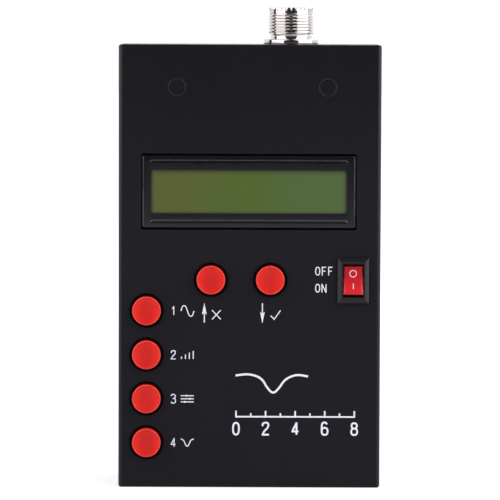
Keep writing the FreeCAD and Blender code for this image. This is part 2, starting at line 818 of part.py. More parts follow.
def socket_shell():
    flange_top = case_height + flange_height
    thread_start = flange_top + neck_height
    edge = crest_width
    outline = [(insulator_radius, barrel_end_z), (barrel_radius, barrel_end_z),
               (barrel_radius, case_height), (flange_radius, case_height),
               (flange_radius, flange_top - edge), (flange_radius - edge, flange_top),
               (neck_radius, flange_top), (neck_radius, thread_start)]
    outline += thread_rings(thread_start, thread_height)
    outline += [(crown_radius, thread_start + thread_height), (crown_radius, socket_mouth_z),
                (mouth_radius, socket_mouth_z), (mouth_radius, insulator_face_z),
                (insulator_radius, insulator_face_z)]
    shell = turned_z(outline, socket_x, socket_y)
    half = notch_share * math.pi * crown_radius / crown_teeth
    notch = Part.Face(Part.makePolygon([
        V(insulator_radius, -half, socket_mouth_z), V(insulator_radius, half, socket_mouth_z),
        V(insulator_radius, 0, socket_mouth_z - tooth_depth),
        V(insulator_radius, -half, socket_mouth_z)])).extrude(V(flange_radius, 0, 0))
    notches = []
    for number in range(crown_teeth):
        cut = notch.copy()
        cut.rotate(V(0, 0, 0), V(0, 0, 1), number * 360 / crown_teeth)
        cut.translate(V(socket_x, socket_y, 0))
        notches.append(cut)
    return shell.cut(notches)


def socket_insulator():
    return rod_z(socket_x, socket_y, insulator_radius, (barrel_end_z, insulator_face_z)).cut(
        rod_z(socket_x, socket_y, contact_radius, (barrel_end_z, insulator_face_z)))


def socket_contact():
    tube = rod_z(socket_x, socket_y, contact_radius, (barrel_end_z, insulator_face_z))
    cup = rod_z(socket_x, socket_y, cup_radius, (cup_end_z, barrel_end_z))
    top = insulator_face_z + 1
    cuts = [rod_z(socket_x, socket_y, contact_bore_radius,
                  (insulator_face_z - contact_bore_depth, top))]
    wide, slit = around(socket_x, 2 * contact_radius), around(socket_x, contact_slot)
    deep, cross = around(socket_y, 2 * contact_radius), around(socket_y, contact_slot)
    slot_z = (insulator_face_z - contact_slot_depth, top)
    cuts += [box(wide, cross, slot_z), box(slit, deep, slot_z)]
    return joined([tube, cup]).cut(cuts)


def socket_ring(radius, z):
    """A flat ring on the barrel behind the end plate."""
    return rod_z(socket_x, socket_y, radius, z).cut(rod_z(socket_x, socket_y, barrel_radius, z))


def ground_lug():
    top = end_inner_z - washer_sheet
    z = (top - lug_sheet, top)
    tail = box((socket_x - lug_reach, socket_x - barrel_radius - 1), around(socket_y, lug_width), z)
    hole = rod_z(socket_x - lug_reach + lug_width / 2, socket_y, lug_width / 4, z)
    return joined([socket_ring(lug_radius, z), tail]).cut(hole)


def socket_nut():
    top = end_inner_z - washer_sheet - lug_sheet
    radius = nut_flats / math.sqrt(3)
    corners = [V(socket_x + radius * math.cos(math.radians(60 * n)),
                 socket_y + radius * math.sin(math.radians(60 * n)), top - nut_height)
               for n in range(7)]
    hexagon = Part.Face(Part.makePolygon(corners)).extrude(V(0, 0, nut_height))
    return hexagon.cut(rod_z(socket_x, socket_y, barrel_radius, (top - nut_height, top)))


def signal_wire():
    turn_z = cup_end_z - signal_wire_drop
    return lead([V(socket_x, socket_y, cup_end_z), V(socket_x, socket_y, turn_z),
                 V(socket_x, board_back_y, turn_z)], signal_wire_radius)


# ---- battery ----------------------------------------------------------------------------
def battery_cells():
    cells = []
    for number in range(cell_count):
        x = (number - (cell_count - 1) / 2) * cell_pitch
        cell = rod_z(x, cell_y, cell_radius, (cell_bottom, cell_bottom + cell_length))
        ends = [edge for edge in cell.Edges if edge.Closed]
        cells.append(cell.makeFillet(cell_round, ends))
    return cells


def battery_strap():
    """A strap over the cells, its two feet spot-welded to the back of the box."""
    half_span = (cell_count - 1) / 2 * cell_pitch + cell_radius + strap_gap + strap_sheet
    floor = cell_y - cell_radius - strap_gap - strap_sheet
    z = around(cell_bottom + cell_length / 2, strap_width)
    saddle = channel(half_span, floor, chassis_inner_y, strap_sheet, strap_sheet * 2,
                     lambda u, v: V(u, v, z[0]), V(0, 0, strap_width))
    foot_y = (chassis_inner_y - strap_sheet, chassis_inner_y)
    feet = [box((half_span - strap_sheet, half_span + strap_foot), foot_y, z),
            box((-half_span - strap_foot, strap_sheet - half_span), foot_y, z)]
    return joined([saddle] + feet)


def battery_lead():
    x = -(cell_count - 1) / 2 * cell_pitch
    top = cell_bottom + cell_length
    return lead([V(x, cell_y, top), V(x, cell_y, top + lead_rise),
                 V(x, board_back_y, top + lead_rise)], lead_radius)


# ---- sockets in the bottom end ----------------------------------------------------------
def power_jack():
    block = box(around(jack_x, jack_width), (board_back_y, board_back_y + jack_height),
                (chassis_sheet, chassis_sheet + jack_length))
    nose = rod_z(jack_x, jack_y, jack_nose_radius, (0, chassis_sheet))
    return joined([block, nose]).cut(rod_z(jack_x, jack_y, jack_bore_radius, (-1, jack_bore_depth)))


def power_jack_pin():
    pin = rod_z(jack_x, jack_y, jack_pin_radius, (jack_pin_setback, jack_bore_depth))
    tip = [edge for edge in pin.Edges if edge.Closed and edge.BoundBox.ZMax < jack_pin_setback + 0.1]
    return pin.makeFillet(jack_pin_radius * 0.4, tip)


def usb_outline(sheet):
    """Cross-section with the two corners nearer the board cut off, a sheet's thickness in."""
    x = around(usb_x, usb_width - 2 * sheet)
    y = (board_back_y + sheet, board_back_y + usb_height - sheet)
    cut = usb_chamfer
    corners = [V(x[0] + cut, y[0], 0), V(x[1] - cut, y[0], 0), V(x[1], y[0] + cut, 0),
               V(x[1], y[1], 0), V(x[0], y[1], 0), V(x[0], y[0] + cut, 0)]
    return Part.Face(Part.makePolygon(corners + corners[:1]))


def usb_socket():
    tube = usb_outline(0).extrude(V(0, 0, usb_length))
    return tube.cut(usb_outline(usb_sheet).extrude(V(0, 0, usb_length)))


def usb_tongue():
    block = usb_outline(usb_sheet).extrude(V(0, 0, usb_back))
    block.translate(V(0, 0, usb_length - usb_back))
    tongue = box(around(usb_x, usb_tongue_width),
                 around(board_back_y + usb_height / 2, usb_tongue_height),
                 (usb_length - usb_back - usb_tongue_length, usb_length - usb_back))
    return joined([block, tongue])


# ---- write every sub-part ---------------------------------------------------------------
washer_z = (end_inner_z - washer_sheet, end_inner_z)
parts = {
    "front_cover": front_cover(),
    "rear_chassis": rear_chassis(),
    "cover_screws": cover_screws(),
    "rubber_feet": rubber_feet(),
    "display_frame": display_frame(),
    "display_glass": display_glass(),
    "display_backlight": display_backlight(),
    "display_contact_strips": contact_strips(),
    "display_board": display_board(),
    "display_spacers": display_spacers(),
    "display_screws": display_screws(),
    "header_strip": header_strip(),
    "header_pins": pins((display_board_y - pin_stick_out, board_back_y + pin_stick_out)),
    "main_board": main_board(),
    "panel_standoffs": panel_standoffs(),
    "board_screws": board_screws(),
    "controller_chip": on_board(controller_chip),
    "synthesizer_chip": on_board(synthesizer_chip),
    "regulator_chip": on_board(regulator_chip),
    "shield_can": shield(),
    "capacitors": capacitors(),
    "switch_covers": switch_covers(),
    "switch_domes": switch_domes(),
    "rocker_housing": switch_housing(),
    "rocker": rocker(),
    "rocker_contact": tilting_contact(),
    "rocker_terminals": switch_terminals(),
    "socket_shell": socket_shell(),
    "socket_insulator": socket_insulator(),
    "socket_contact": socket_contact(),
    "socket_washer": socket_ring(washer_radius, washer_z),
    "socket_nut": socket_nut(),
    "ground_lug": ground_lug(),
    "signal_wire": signal_wire(),
    "battery_cells": battery_cells(),
    "battery_strap": battery_strap(),
    "battery_lead": battery_lead(),
    "power_jack": power_jack(),
    "power_jack_pin": power_jack_pin(),
    "usb_socket": usb_socket(),
    "usb_tongue": usb_tongue(),
}
for name, place in button_places.items():
    parts[name + "_cap"] = button_cap(*place)
    parts[name + "_plunger"] = button_plunger(*place)
    parts[name + "_switch"] = switch_base(*place)

os.makedirs("parts", exist_ok=True)
for name, shape in parts.items():
    if isinstance(shape, list):
        shape = Part.makeCompound(shape)
    shape.exportStep(f"parts/{name}.step")
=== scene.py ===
import json
from math import ceil, cos, pi, radians, sin, sqrt, tan

import bmesh
import bpy
from mathutils import Matrix, Vector


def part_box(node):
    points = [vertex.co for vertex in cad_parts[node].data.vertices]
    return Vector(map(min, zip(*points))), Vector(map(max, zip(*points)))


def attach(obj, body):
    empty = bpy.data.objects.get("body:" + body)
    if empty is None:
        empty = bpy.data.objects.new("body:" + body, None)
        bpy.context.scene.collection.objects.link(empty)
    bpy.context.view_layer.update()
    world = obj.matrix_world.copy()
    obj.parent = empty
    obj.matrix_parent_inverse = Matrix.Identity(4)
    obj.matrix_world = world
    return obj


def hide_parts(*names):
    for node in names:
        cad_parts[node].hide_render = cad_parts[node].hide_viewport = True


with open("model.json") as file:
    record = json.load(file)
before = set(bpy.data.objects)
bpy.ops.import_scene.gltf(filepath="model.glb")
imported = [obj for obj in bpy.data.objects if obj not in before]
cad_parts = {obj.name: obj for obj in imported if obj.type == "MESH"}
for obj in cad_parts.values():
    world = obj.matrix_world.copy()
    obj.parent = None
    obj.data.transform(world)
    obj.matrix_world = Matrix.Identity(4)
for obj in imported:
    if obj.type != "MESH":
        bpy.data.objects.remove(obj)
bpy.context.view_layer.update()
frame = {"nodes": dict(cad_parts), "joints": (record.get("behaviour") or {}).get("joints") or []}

# The looks of a hand-held antenna analyzer: powder-coated sheet-metal box, red push buttons,
# character display, rocker switch and nickel-plated antenna socket. Metres throughout; X is
# to the right, -Y is the front and +Z is up, with the origin in the middle of the bottom end.

MM = 0.001
nodes = frame["nodes"]
BUTTONS = ["key_1", "key_2", "key_3", "key_4", "arrow_up", "arrow_down"]


def middle(name):
    """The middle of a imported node's box."""
    low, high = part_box(name)
    return (low + high) / 2


cover_low, cover_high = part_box("front_cover")
front_y = cover_low.y
case_top = cover_high.z

# Sizes that both a finish and a shape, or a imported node, go by.
BUTTON_HOLE_GAP = 0.72 * MM
RIB_INSET = 2.2 * MM
RIB_END = 2.6 * MM


# ---- node trees ----
class Value:
    """What comes out of a node; sums, differences, products and shares of it are math nodes."""

    def __init__(self, socket):
        self.socket = socket
        self.tree = socket.id_data

    def __add__(self, other):
        return calc("ADD", self, other)

    def __sub__(self, other):
        return calc("SUBTRACT", self, other)

    def __rsub__(self, other):
        return calc("SUBTRACT", other, self)

    def __mul__(self, other):
        return calc("MULTIPLY", self, other)

    def __rtruediv__(self, other):
        return calc("DIVIDE", other, self)


def feed(socket, value):
    """Link a socket to a value, or set it; a colour is given without its alpha."""
    if isinstance(value, Value):
        value.tree.links.new(value.socket, socket)
    elif socket.type == "RGBA":
        socket.default_value = (*value, 1)
    else:
        socket.default_value = value


def add(tree, kind, inputs=(), **settings):
    """The outputs, by place and by name, of a new shader node with its inputs filled in."""
    made = tree.nodes.new("ShaderNode" + kind)
    for name, value in settings.items():
        setattr(made, name, value)
    for place, value in dict(inputs).items():
        feed(made.inputs[place], value)
    return {key: Value(socket) for place, socket in enumerate(made.outputs)
            for key in (place, socket.name)}


def calc(operation, first, second=0.0, clamp=False):
    """A math node; one of its two inputs at least is a node's value."""
    tree = (first if isinstance(first, Value) else second).tree
    return add(tree, "Math", {0: first, 1: second}, operation=operation, use_clamp=clamp)[0]


def spread(value, low, high, to_low=0.0, to_high=1.0, kind="LINEAR"):
    """A value from one range laid onto another, held at its ends."""
    ends = {"From Min": low, "From Max": high, "To Min": to_low, "To Max": to_high}
    return add(value.tree, "MapRange", {"Value": value, **ends}, interpolation_type=kind)[0]


def ease(value, low, high, to_low=0.0, to_high=1.0):
    """A spread that starts and ends gently."""
    return spread(value, low, high, to_low, to_high, "SMOOTHSTEP")


def blended(share, first, second):
    """Two colours mixed by a share."""
    return add(share.tree, "Mix", {0: share, 6: first, 7: second}, data_type="RGBA")[2]


def scaled(tint, level):
    """A colour made darker or lighter by a level about 1."""
    return add(level.tree, "VectorMath", {0: tint, "Scale": level}, operation="SCALE")[0]


def place_on(tree):
    """The point on the surface, in metres in the row frame."""
    return add(tree, "TexCoord")["Object"]


def axes(vector):
    """The three parts of a vector."""
    parts = add(vector.tree, "SeparateXYZ", {0: vector})
    return parts[0], parts[1], parts[2]


def stretched(vector, scales):
    """A point with each axis scaled, so that a pattern on it is drawn out."""
    return add(vector.tree, "VectorMath", {0: vector, 1: scales}, operation="MULTIPLY")[0]


def cloud(vector, size, detail=2.0, rough=0.5):
    """Soft noise from 0 to 1, with features of about this size."""
    inputs = {"Vector": vector, "Scale": 1.0 / size, "Detail": detail, "Roughness": rough}
    return add(vector.tree, "TexNoise", inputs)["Fac"]


def cells(vector, size, feature="F1"):
    return add(vector.tree, "TexVoronoi", {"Vector": vector, "Scale": 1.0 / size}, feature=feature)


def bump(height, depth, strength):
    """A normal that dips by this depth, in metres, where the height runs from 1 to 0."""
    return add(height.tree, "Bump", {"Height": height, "Distance": depth, "Strength": strength})[0]


def colour(*levels):
    """A screen colour, 0 to 255, as a linear one."""
    shares = [level / 255 for level in levels]
    return [share / 12.92 if share <= 0.04045 else ((share + 0.055) / 1.055) ** 2.4
            for share in shares]


# ---- effects that several finishes share ----
def effect(name, inputs, outputs, build):
    """A node group with named inputs and outputs; build gives the value of each output."""
    group = bpy.data.node_groups.new(name, "ShaderNodeTree")
    for label, value in inputs.items():
        socket = group.interface.new_socket(label, in_out="INPUT", socket_type="NodeSocketFloat")
        socket.default_value = value
    for label in outputs:
        group.interface.new_socket(label, in_out="OUTPUT", socket_type="NodeSocketFloat")
    source = group.nodes.new("NodeGroupInput")
    given = {label: Value(source.outputs[label]) for label in inputs}
    ending = group.nodes.new("NodeGroupOutput")
    for label, value in zip(outputs, build(group, given)):
        feed(ending.inputs[label], value)
    return group


def fine_grain(tree, given):
    """A powdery or spark-eroded skin: small rounded bumps with a finer dust on them."""
    where = place_on(tree)
    bumps = cells(where, given["Size"], "SMOOTH_F1")["Distance"]
    powder = cloud(where, given["Size"] * 0.45, 3.0, 0.6)
    return bumps * given["Bumps"] + powder, spread(powder, 0.35, 0.65)


def edge_wear(tree, given):
    """1 along the outer edges, broken up as handling leaves them."""
    round_normal = add(tree, "Bevel", {"Radius": given["Reach"]}, samples=4)[0]
    flat_normal = add(tree, "NewGeometry")["Normal"]
    lean = add(tree, "VectorMath", {0: round_normal, 1: flat_normal}, operation="DOT_PRODUCT")
    patches = spread(cloud(place_on(tree), given["Patches"], 3.0), 0.32, 0.62)
    kept = patches * given["Breakup"] + (1.0 - given["Breakup"])
    return (calc("MULTIPLY", ease(lean["Value"], 0.995, 0.86), kept, clamp=True),)


def slow_drift(tree, given):
    """A level about 1 that wanders over the surface, as a sprayed or wiped finish does."""
    where = place_on(tree)
    wide = cloud(where, given["Size"])
    narrow = cloud(where, given["Size"] * 0.22, 3.0)
    return ((wide * 0.65 + narrow * 0.35 - 0.5) * given["Swing"] + 1.0,)


def loose_dust(tree, given):
    """Sparse pale specks that have settled on the surface."""
    found = cells(place_on(tree), given["Spacing"])
    picked = add(tree, "SeparateColor", {0: found["Color"]})[0]
    speck = spread(found["Distance"], 0.02, 0.09, 1.0, 0.0)
    return (speck * calc("LESS_THAN", picked, given["Share"]),)


def drawn_marks(tree, given):
    """Fine lines left by turning, drawing or brushing, along one axis."""
    along = {0: given["Along X"], 1: given["Along Y"], 2: given["Along Z"]}
    lines = cloud(stretched(place_on(tree), add(tree, "CombineXYZ", along)[0]), given["Size"], 4.0, 0.65)
    return lines, spread(lines, 0.35, 0.65)


GRAIN = effect("fine grain", {"Size": 0.0004, "Bumps": 0.5}, ["Height", "Powder"], fine_grain)
WEAR = effect("edge wear", {"Reach": 0.0004, "Patches": 0.004, "Breakup": 0.5}, ["Mask"], edge_wear)
DRIFT = effect("slow drift", {"Size": 0.03, "Swing": 0.3}, ["Level"], slow_drift)
DUST = effect("loose dust", {"Spacing": 0.004, "Share": 0.3}, ["Mask"], loose_dust)
MARKS = effect("drawn marks", {"Size": 0.0005, "Along X": 1.0, "Along Y": 1.0, "Along Z": 1.0},
               ["Height", "Lines"], drawn_marks)


def use(tree, group, **inputs):
    """Place an effect in a material with its own values."""
    made = tree.nodes.new("ShaderNodeGroup")
    made.node_tree = group
    for label, value in inputs.items():
        feed(made.inputs[label.replace("_", " ")], value)
    return {socket.name: Value(socket) for socket in made.outputs}


def drifting(tree, size, swing):
    return use(tree, DRIFT, Size=size, Swing=swing)["Level"]


def worn_edges(tree, reach, patches, breakup):
    return use(tree, WEAR, Reach=reach, Patches=patches, Breakup=breakup)["Mask"]


# ---- finishes ----
def looks(base, rough, height, depth, strength=0.5, **others):
    """Inputs of a main shader: its colour, its roughness, the bumps of a height, and others."""
    return {"Base Color": base, "Roughness": rough, "Normal": bump(height, depth, strength), **others}


def finish(name, build, *details, **others):
    """A new material; build gives the inputs of its main shader by name."""
    made = bpy.data.materials.new(name)
    made.use_nodes = True
    shader = made.node_tree.nodes["Principled BSDF"]
    for label, value in build(made.node_tree, *details, **others).items():
        feed(shader.inputs[label.replace("_", " ")], value)
    return made


def from_nearest_cap(tree, upright):
    """The distance from the middle of the nearest button, its upright part scaled."""
    where = stretched(place_on(tree), (1.0, 0.0, upright))
    nearest = None
    for name in BUTTONS:
        centre = middle(name + "_cap")
        gap = add(tree, "VectorMath", {0: where, 1: (centre.x, 0, centre.z * upright)},
                  operation="DISTANCE")["Value"]
        nearest = gap if nearest is None else calc("MINIMUM", nearest, gap)
    return nearest


# Heights over which painted shade darkens the coat towards the top, how far in from each side the
# painted fold highlight runs, where the front of the coat ends behind the face, and how wide the painted
# shade round each button hole is.
TOP_SHADE_FROM, TOP_SHADE_TO = 85 * MM, 148 * MM
FOLD_HIGHLIGHT_START, FOLD_HIGHLIGHT_END = 1.3 * MM, 0.5 * MM
FRONT_START, FRONT_END = 1.0 * MM, 1.6 * MM
HOLE_SHADE_WIDTH = 0.45 * MM


def powder_coat(tree, tint, speck, wear_and_fold_highlight):
    """Fine matte powder coat, with painted shade darker to the top and in a ring round each
    button hole, and a painted highlight on the side folds, brighter on the left."""
    grain = use(tree, GRAIN, Size=0.00042, Bumps=0.6)
    drift = drifting(tree, 0.045, 0.30)
    worn = worn_edges(tree, 0.0003, 0.006, 0.45)
    dust = use(tree, DUST, Spacing=0.0022, Share=0.06)["Mask"]
    x, y, z = axes(place_on(tree))
    behind = spread(y, front_y + FRONT_START, front_y + FRONT_END)
    low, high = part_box("key_1_cap")
    hole = (high.x - low.x) / 2 + BUTTON_HOLE_GAP
    # Painted shade: a ring round each button hole where the coat is darker and less glossy, kept to the
    # front.
    rolled = ease(from_nearest_cap(tree, 1.0), hole, hole + HOLE_SHADE_WIDTH, 0.30)
    rolled = calc("MAXIMUM", rolled, behind)
    # Painted shade: the coat darker towards the top, and in the ring round each button hole.
    coat = drift * ease(z, TOP_SHADE_FROM, TOP_SHADE_TO, 1.0, 0.58) * rolled
    speckled = blended(grain["Powder"] * 0.30, scaled(tint, coat), speck)
    aside = calc("ABSOLUTE", x)
    # Painted highlight along the side folds of the front, brighter on the left fold than on the right;
    # the same light colour also shows the edge wear.
    fold_highlight = spread(aside, cover_high.x - FOLD_HIGHLIGHT_START, cover_high.x - FOLD_HIGHLIGHT_END) * (1.0 - behind)
    highlight_by_side = spread(x, cover_low.x, cover_high.x, 0.75, 0.50)
    folded = blended(fold_highlight * highlight_by_side, speckled, wear_and_fold_highlight)
    edged = blended(worn * 0.30, folded, wear_and_fold_highlight)
    gloss = drift * calc("MAXIMUM", fold_highlight, ease(z, TOP_SHADE_FROM, TOP_SHADE_TO, 1.0, 0.80))
    rough = spread(grain["Powder"], 0, 1, 0.44, 0.54) * gloss
    return looks(blended(dust * 0.10, edged, (0.30, 0.30, 0.30)), rough, grain["Height"], 0.000024,
                 0.6, Specular_IOR_Level=rolled * 0.22)


# How far under each rib its painted shadow line lies, and how far in from the sides the painted
# highlight runs.
RIB_SHADOW_BELOW = 0.32 * MM
SIDE_HIGHLIGHT_START, SIDE_HIGHLIGHT_END = 0.50 * MM, 0.30 * MM


def satin_paint(tree):
    """Thin satin black paint on pressed steel, painted shade at the top and under the ribs, painted side
    highlights.
    """
    grain = use(tree, GRAIN, Size=0.00025, Bumps=0.3)
    drift = drifting(tree, 0.02, 0.18)
    worn = worn_edges(tree, 0.00025, 0.003, 0.6)
    low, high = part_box("display_frame")
    x, _, z = axes(place_on(tree))
    out = calc("ABSOLUTE", x - (low.x + high.x) / 2)
    half = (high.x - low.x) / 2
    # Painted shadow: a dark line under each rib, along the rib's length.
    rib_shadow_heights = (low.z + RIB_INSET - RIB_SHADOW_BELOW, high.z - RIB_INSET - RIB_SHADOW_BELOW)
    gaps = [calc("ABSOLUTE", z - height) for height in rib_shadow_heights]
    rib_shadow = ease(calc("MINIMUM", *gaps), 0.10 * MM, 0.26 * MM, 0.25)
    past_rib = spread(out, half - RIB_END - 0.3 * MM, half - RIB_END)
    # Painted shade, darker towards the top and along the lines under the ribs, on colour and gloss.
    shade = spread(z, low.z, high.z, 1.25, 0.55) * calc("MAXIMUM", rib_shadow, past_rib)
    base = scaled((0.0080, 0.0074, 0.0112), drift * shade)
    edged = blended(worn * 0.5, base, (0.09, 0.09, 0.095))
    # Painted highlight along both sides of the frame, broken up in patches.
    patches = spread(cloud(place_on(tree), 0.005, 3.0), 0.35, 0.60, 0.35, 1.0)
    side_highlight = ease(out, half - SIDE_HIGHLIGHT_START, half - SIDE_HIGHLIGHT_END) * patches
    return looks(blended(side_highlight, edged, (0.13, 0.13, 0.135)), drift * 0.28, grain["Height"], 0.000008,
                 Specular_IOR_Level=shade * 0.45)


def moulded_plastic(tree, tint, rough, grain_size, wear_and_highlight_tint, wear_share=0.4, specular=0.5,
                    fade=None, upward=None):
    """Moulded plastic with a faint grain, a slight flow pattern and softened edges.

    The height shade is a range of height and the level of the colour at both of its ends, painted
    shade along the height; the upward shade is the level of painted shade on the faces that look up.
    """
    grain = use(tree, GRAIN, Size=grain_size, Bumps=0.35)
    drift = drifting(tree, 0.012, 0.22)
    worn = worn_edges(tree, 0.0003, 0.002, 0.5)
    base = scaled(tint, drift)
    # Painted shade that changes with height.
    if fade:
        base = scaled(base, spread(axes(place_on(tree))[2], *fade))
    # Painted shade on the faces that look up, on colour and gloss alike.
    if upward:
        facing = axes(add(tree, "NewGeometry")["Normal"])[2]
        level = spread(facing, 0.1, 0.3, 1.0, upward)
        base = scaled(base, level)
        specular = level * specular
    # Lighter edges: wear, and at a high share also a painted highlight along them.
    return looks(blended(worn * wear_share, base, wear_and_highlight_tint), drift * rough, grain["Height"],
                 0.000006, Specular_IOR_Level=specular)


# How far from a button's middle the painted rim highlight starts and is full.
CAP_HIGHLIGHT_FROM, CAP_HIGHLIGHT_TO = 4.62 * MM, 4.78 * MM


def glowing_cap(tree):
    """Red moulding, darker in the middle, with a painted glow to the sides and a painted highlight at
    the rim.
    """
    grain = use(tree, GRAIN, Size=0.0003, Bumps=0.35)
    drift = drifting(tree, 0.006, 0.30)
    worn = worn_edges(tree, 0.0003, 0.002, 0.5)
    deep = scaled((0.62, 0.011, 0.009), drift)
    # Painted glow: each cap lighter towards its sides than in its middle.
    thin = blended(ease(from_nearest_cap(tree, 0.5), 1.0 * MM, 4.4 * MM), deep, (0.80, 0.018, 0.008))
    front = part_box("key_1_cap")[0].y
    at_front = spread(axes(place_on(tree))[1], front + 0.15 * MM, front + 0.40 * MM, 1.0, 0.0)
    # Painted highlight round the rim, on the front face only.
    rim_highlight_mask = spread(from_nearest_cap(tree, 1.0), CAP_HIGHLIGHT_FROM, CAP_HIGHLIGHT_TO) * at_front
    rim = blended(rim_highlight_mask * 0.80, thin, (0.90, 0.21, 0.20))
    return looks(blended(worn * 0.5, rim, (0.90, 0.17, 0.13)), drift * 0.30, grain["Height"],
                 0.000006, Specular_IOR_Level=0.35)


def plated_metal(tree, tint, rough, lines, tarnish):
    """Plated metal with drawing or turning marks and a faint tarnish in patches."""
    marks = use(tree, MARKS, Size=0.0004, Along_X=lines[0], Along_Y=lines[1], Along_Z=lines[2])
    drift = drifting(tree, 0.006, tarnish)
    worn = worn_edges(tree, 0.0002, 0.002, 0.7)
    return looks(blended(worn * 0.3, scaled(tint, drift), (0.95, 0.93, 0.90)),
                 spread(marks["Lines"], 0, 1, rough * 0.7, rough * 1.3) * drift, marks["Height"],
                 0.000004, 0.4, Metallic=1.0)


def soft_rubber(tree):
    grain = use(tree, GRAIN, Size=0.0005, Bumps=0.5)
    drift = drifting(tree, 0.01, 0.4)
    dust = use(tree, DUST, Spacing=0.0012, Share=0.25)["Mask"]
    base = scaled((0.014, 0.014, 0.014), drift)
    return looks(blended(dust * 0.35, base, (0.22, 0.21, 0.19)), drift * 0.78, grain["Height"],
                 0.00003, 0.6)


VIEW_HALF_WIDTH, VIEW_HALF_HEIGHT = 32.9 * MM, 7.3 * MM


def liquid_crystal(tree):
    """The unlit display: yellow-green, olive to the left, with a grey border round the view, partly
    painted shade, widest at the top.
    """
    centre = middle("display_frame")
    x, _, z = axes(place_on(tree))
    across, up = x - centre.x, z - centre.z
    slide = across + (cloud(place_on(tree), 0.018, 1.0) - 0.5) * 0.05
    tint = blended(ease(slide, -0.030, 0.004), colour(85, 92, 42), colour(76, 97, 40))
    tint = blended(ease(slide, 0.0, 0.026), tint, colour(76, 99, 52))
    # The border round the edge of the view: partly the display's own grey border, partly painted shade,
    # widest at the top.
    side = VIEW_HALF_WIDTH - calc("ABSOLUTE", across)
    top, foot = VIEW_HALF_HEIGHT - up, up + VIEW_HALF_HEIGHT
    shade = ease(side, 0.0, 1.3 * MM) * (ease(top, 0.0, 2.1 * MM) * ease(foot, 0.0, 0.9 * MM))
    shaded = blended(spread(shade, 0, 1, 0.80, 0.0), tint, colour(66, 67, 56))
    dust = use(tree, DUST, Spacing=0.005, Share=0.12)["Mask"]
    grain = use(tree, GRAIN, Size=0.0002, Bumps=0.2)
    drift = drifting(tree, 0.02, 0.25)
    return looks(blended(dust * 0.25, shaded, (0.35, 0.36, 0.30)), drift * 0.34, grain["Height"],
                 0.000003, 0.4, Specular_IOR_Level=0.35)


def printed_ink(tree, tint, worn):
    """Screen-printed ink, thin enough to mottle a little."""
    grain = use(tree, GRAIN, Size=0.0003, Bumps=0.4)
    drift = drifting(tree, 0.004, 0.22)
    return looks(blended(grain["Powder"] * 0.14, scaled(tint, drift), worn), drift * 0.55,
                 grain["Height"], 0.000006, 0.4)


def circuit_board(tree):
    """Green solder mask over copper runs and pads on glass cloth."""
    where = place_on(tree)
    flat = stretched(where, (1.0, 0.0, 1.0))
    runs = cells(stretched(flat, (1.0, 1.0, 0.35)), 0.0042)
    lanes = add(tree, "SeparateColor", {0: runs["Color"]})[1]
    upright = add(tree, "Mapping", {"Vector": flat, "Rotation": (pi / 2, 0, 0)})[0]
    rows = add(tree, "TexBrick", {"Vector": upright, "Scale": 220.0, "Mortar Size": 0.012,
                                  "Brick Width": 0.9, "Row Height": 0.25})["Fac"]
    copper = (1.0 - rows) * calc("GREATER_THAN", lanes, 0.42)
    weave = cloud(stretched(where, (1.0, 1.0, 6.0)), 0.0012)
    # A very dark solder mask, so that the board reads as shade through the gaps: painted shade.
    mask = scaled((0.004, 0.026, 0.011), drifting(tree, 0.02, 0.3))
    over_copper = blended(copper * 0.75, mask, (0.012, 0.075, 0.026))
    woven = blended(weave * 0.2, over_copper, (0.01, 0.05, 0.025))
    worn = worn_edges(tree, 0.0004, 0.002, 0.3)
    return looks(blended(worn * 0.8, woven, (0.28, 0.30, 0.14)),
                 spread(weave, 0.3, 0.7, 0.24, 0.36), copper, 0.00003, 0.6)


def shrink_sleeve(tree):
    """Printed shrink sleeve on a round cell, with a darker overlap at each end."""
    low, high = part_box("battery_cells")
    z = axes(place_on(tree))[2]
    lap = spread(calc("MINIMUM", z - low.z, high.z - z), 1.6 * MM, 2.2 * MM)
    drift = drifting(tree, 0.012, 0.25)
    base = scaled((0.030, 0.13, 0.36), drift)
    ripples = cloud(stretched(place_on(tree), (1.0, 1.0, 0.2)), 0.003)
    return looks(blended((1.0 - lap) * 0.45, base, (0.012, 0.05, 0.15)), drift * 0.22, ripples,
                 0.00006, 0.4)


def can_and_sleeve(tree):
    """An aluminium can in a black sleeve that leaves its round end bare."""
    bare = calc("GREATER_THAN", axes(place_on(tree))[1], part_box("capacitors")[1].y - 0.5 * MM)
    drift = drifting(tree, 0.004, 0.3)
    marks = use(tree, MARKS, Size=0.0003, Along_X=1.0, Along_Y=0.1, Along_Z=1.0)
    tint = blended(bare, scaled((0.014, 0.014, 0.02), drift), scaled((0.72, 0.72, 0.74), drift))
    return looks(tint, drift * 0.30, marks["Height"], 0.000005, 0.4, Metallic=bare)


powder = finish("powder_coat", powder_coat, (0.0058, 0.0052, 0.0088), (0.0105, 0.0098, 0.0150),
                (0.040, 0.040, 0.046))
# A lighter copy of the powder coat for the upper beads round the standoffs: a painted highlight.
highlighted_bead_coat = finish("highlighted_bead_coat", powder_coat, (0.020, 0.019, 0.024), (0.034, 0.033, 0.040),
                   (0.070, 0.070, 0.076))
display_paint = finish("satin_paint", satin_paint)
rubber = finish("soft_rubber", soft_rubber)
crystal = finish("liquid_crystal", liquid_crystal)
white_ink = finish("white_ink", printed_ink, (0.84, 0.86, 0.94), (0.38, 0.39, 0.47))
rocker_ink = finish("rocker_ink", printed_ink, (0.76, 0.56, 0.60), (0.60, 0.20, 0.24))
board = finish("circuit_board", circuit_board)
sleeve = finish("shrink_sleeve", shrink_sleeve)
can_finish = finish("can_and_sleeve", can_and_sleeve)
red_cap = finish("red_cap", glowing_cap)


def plastic(name, *details, **others):
    return finish(name, moulded_plastic, *details, **others)


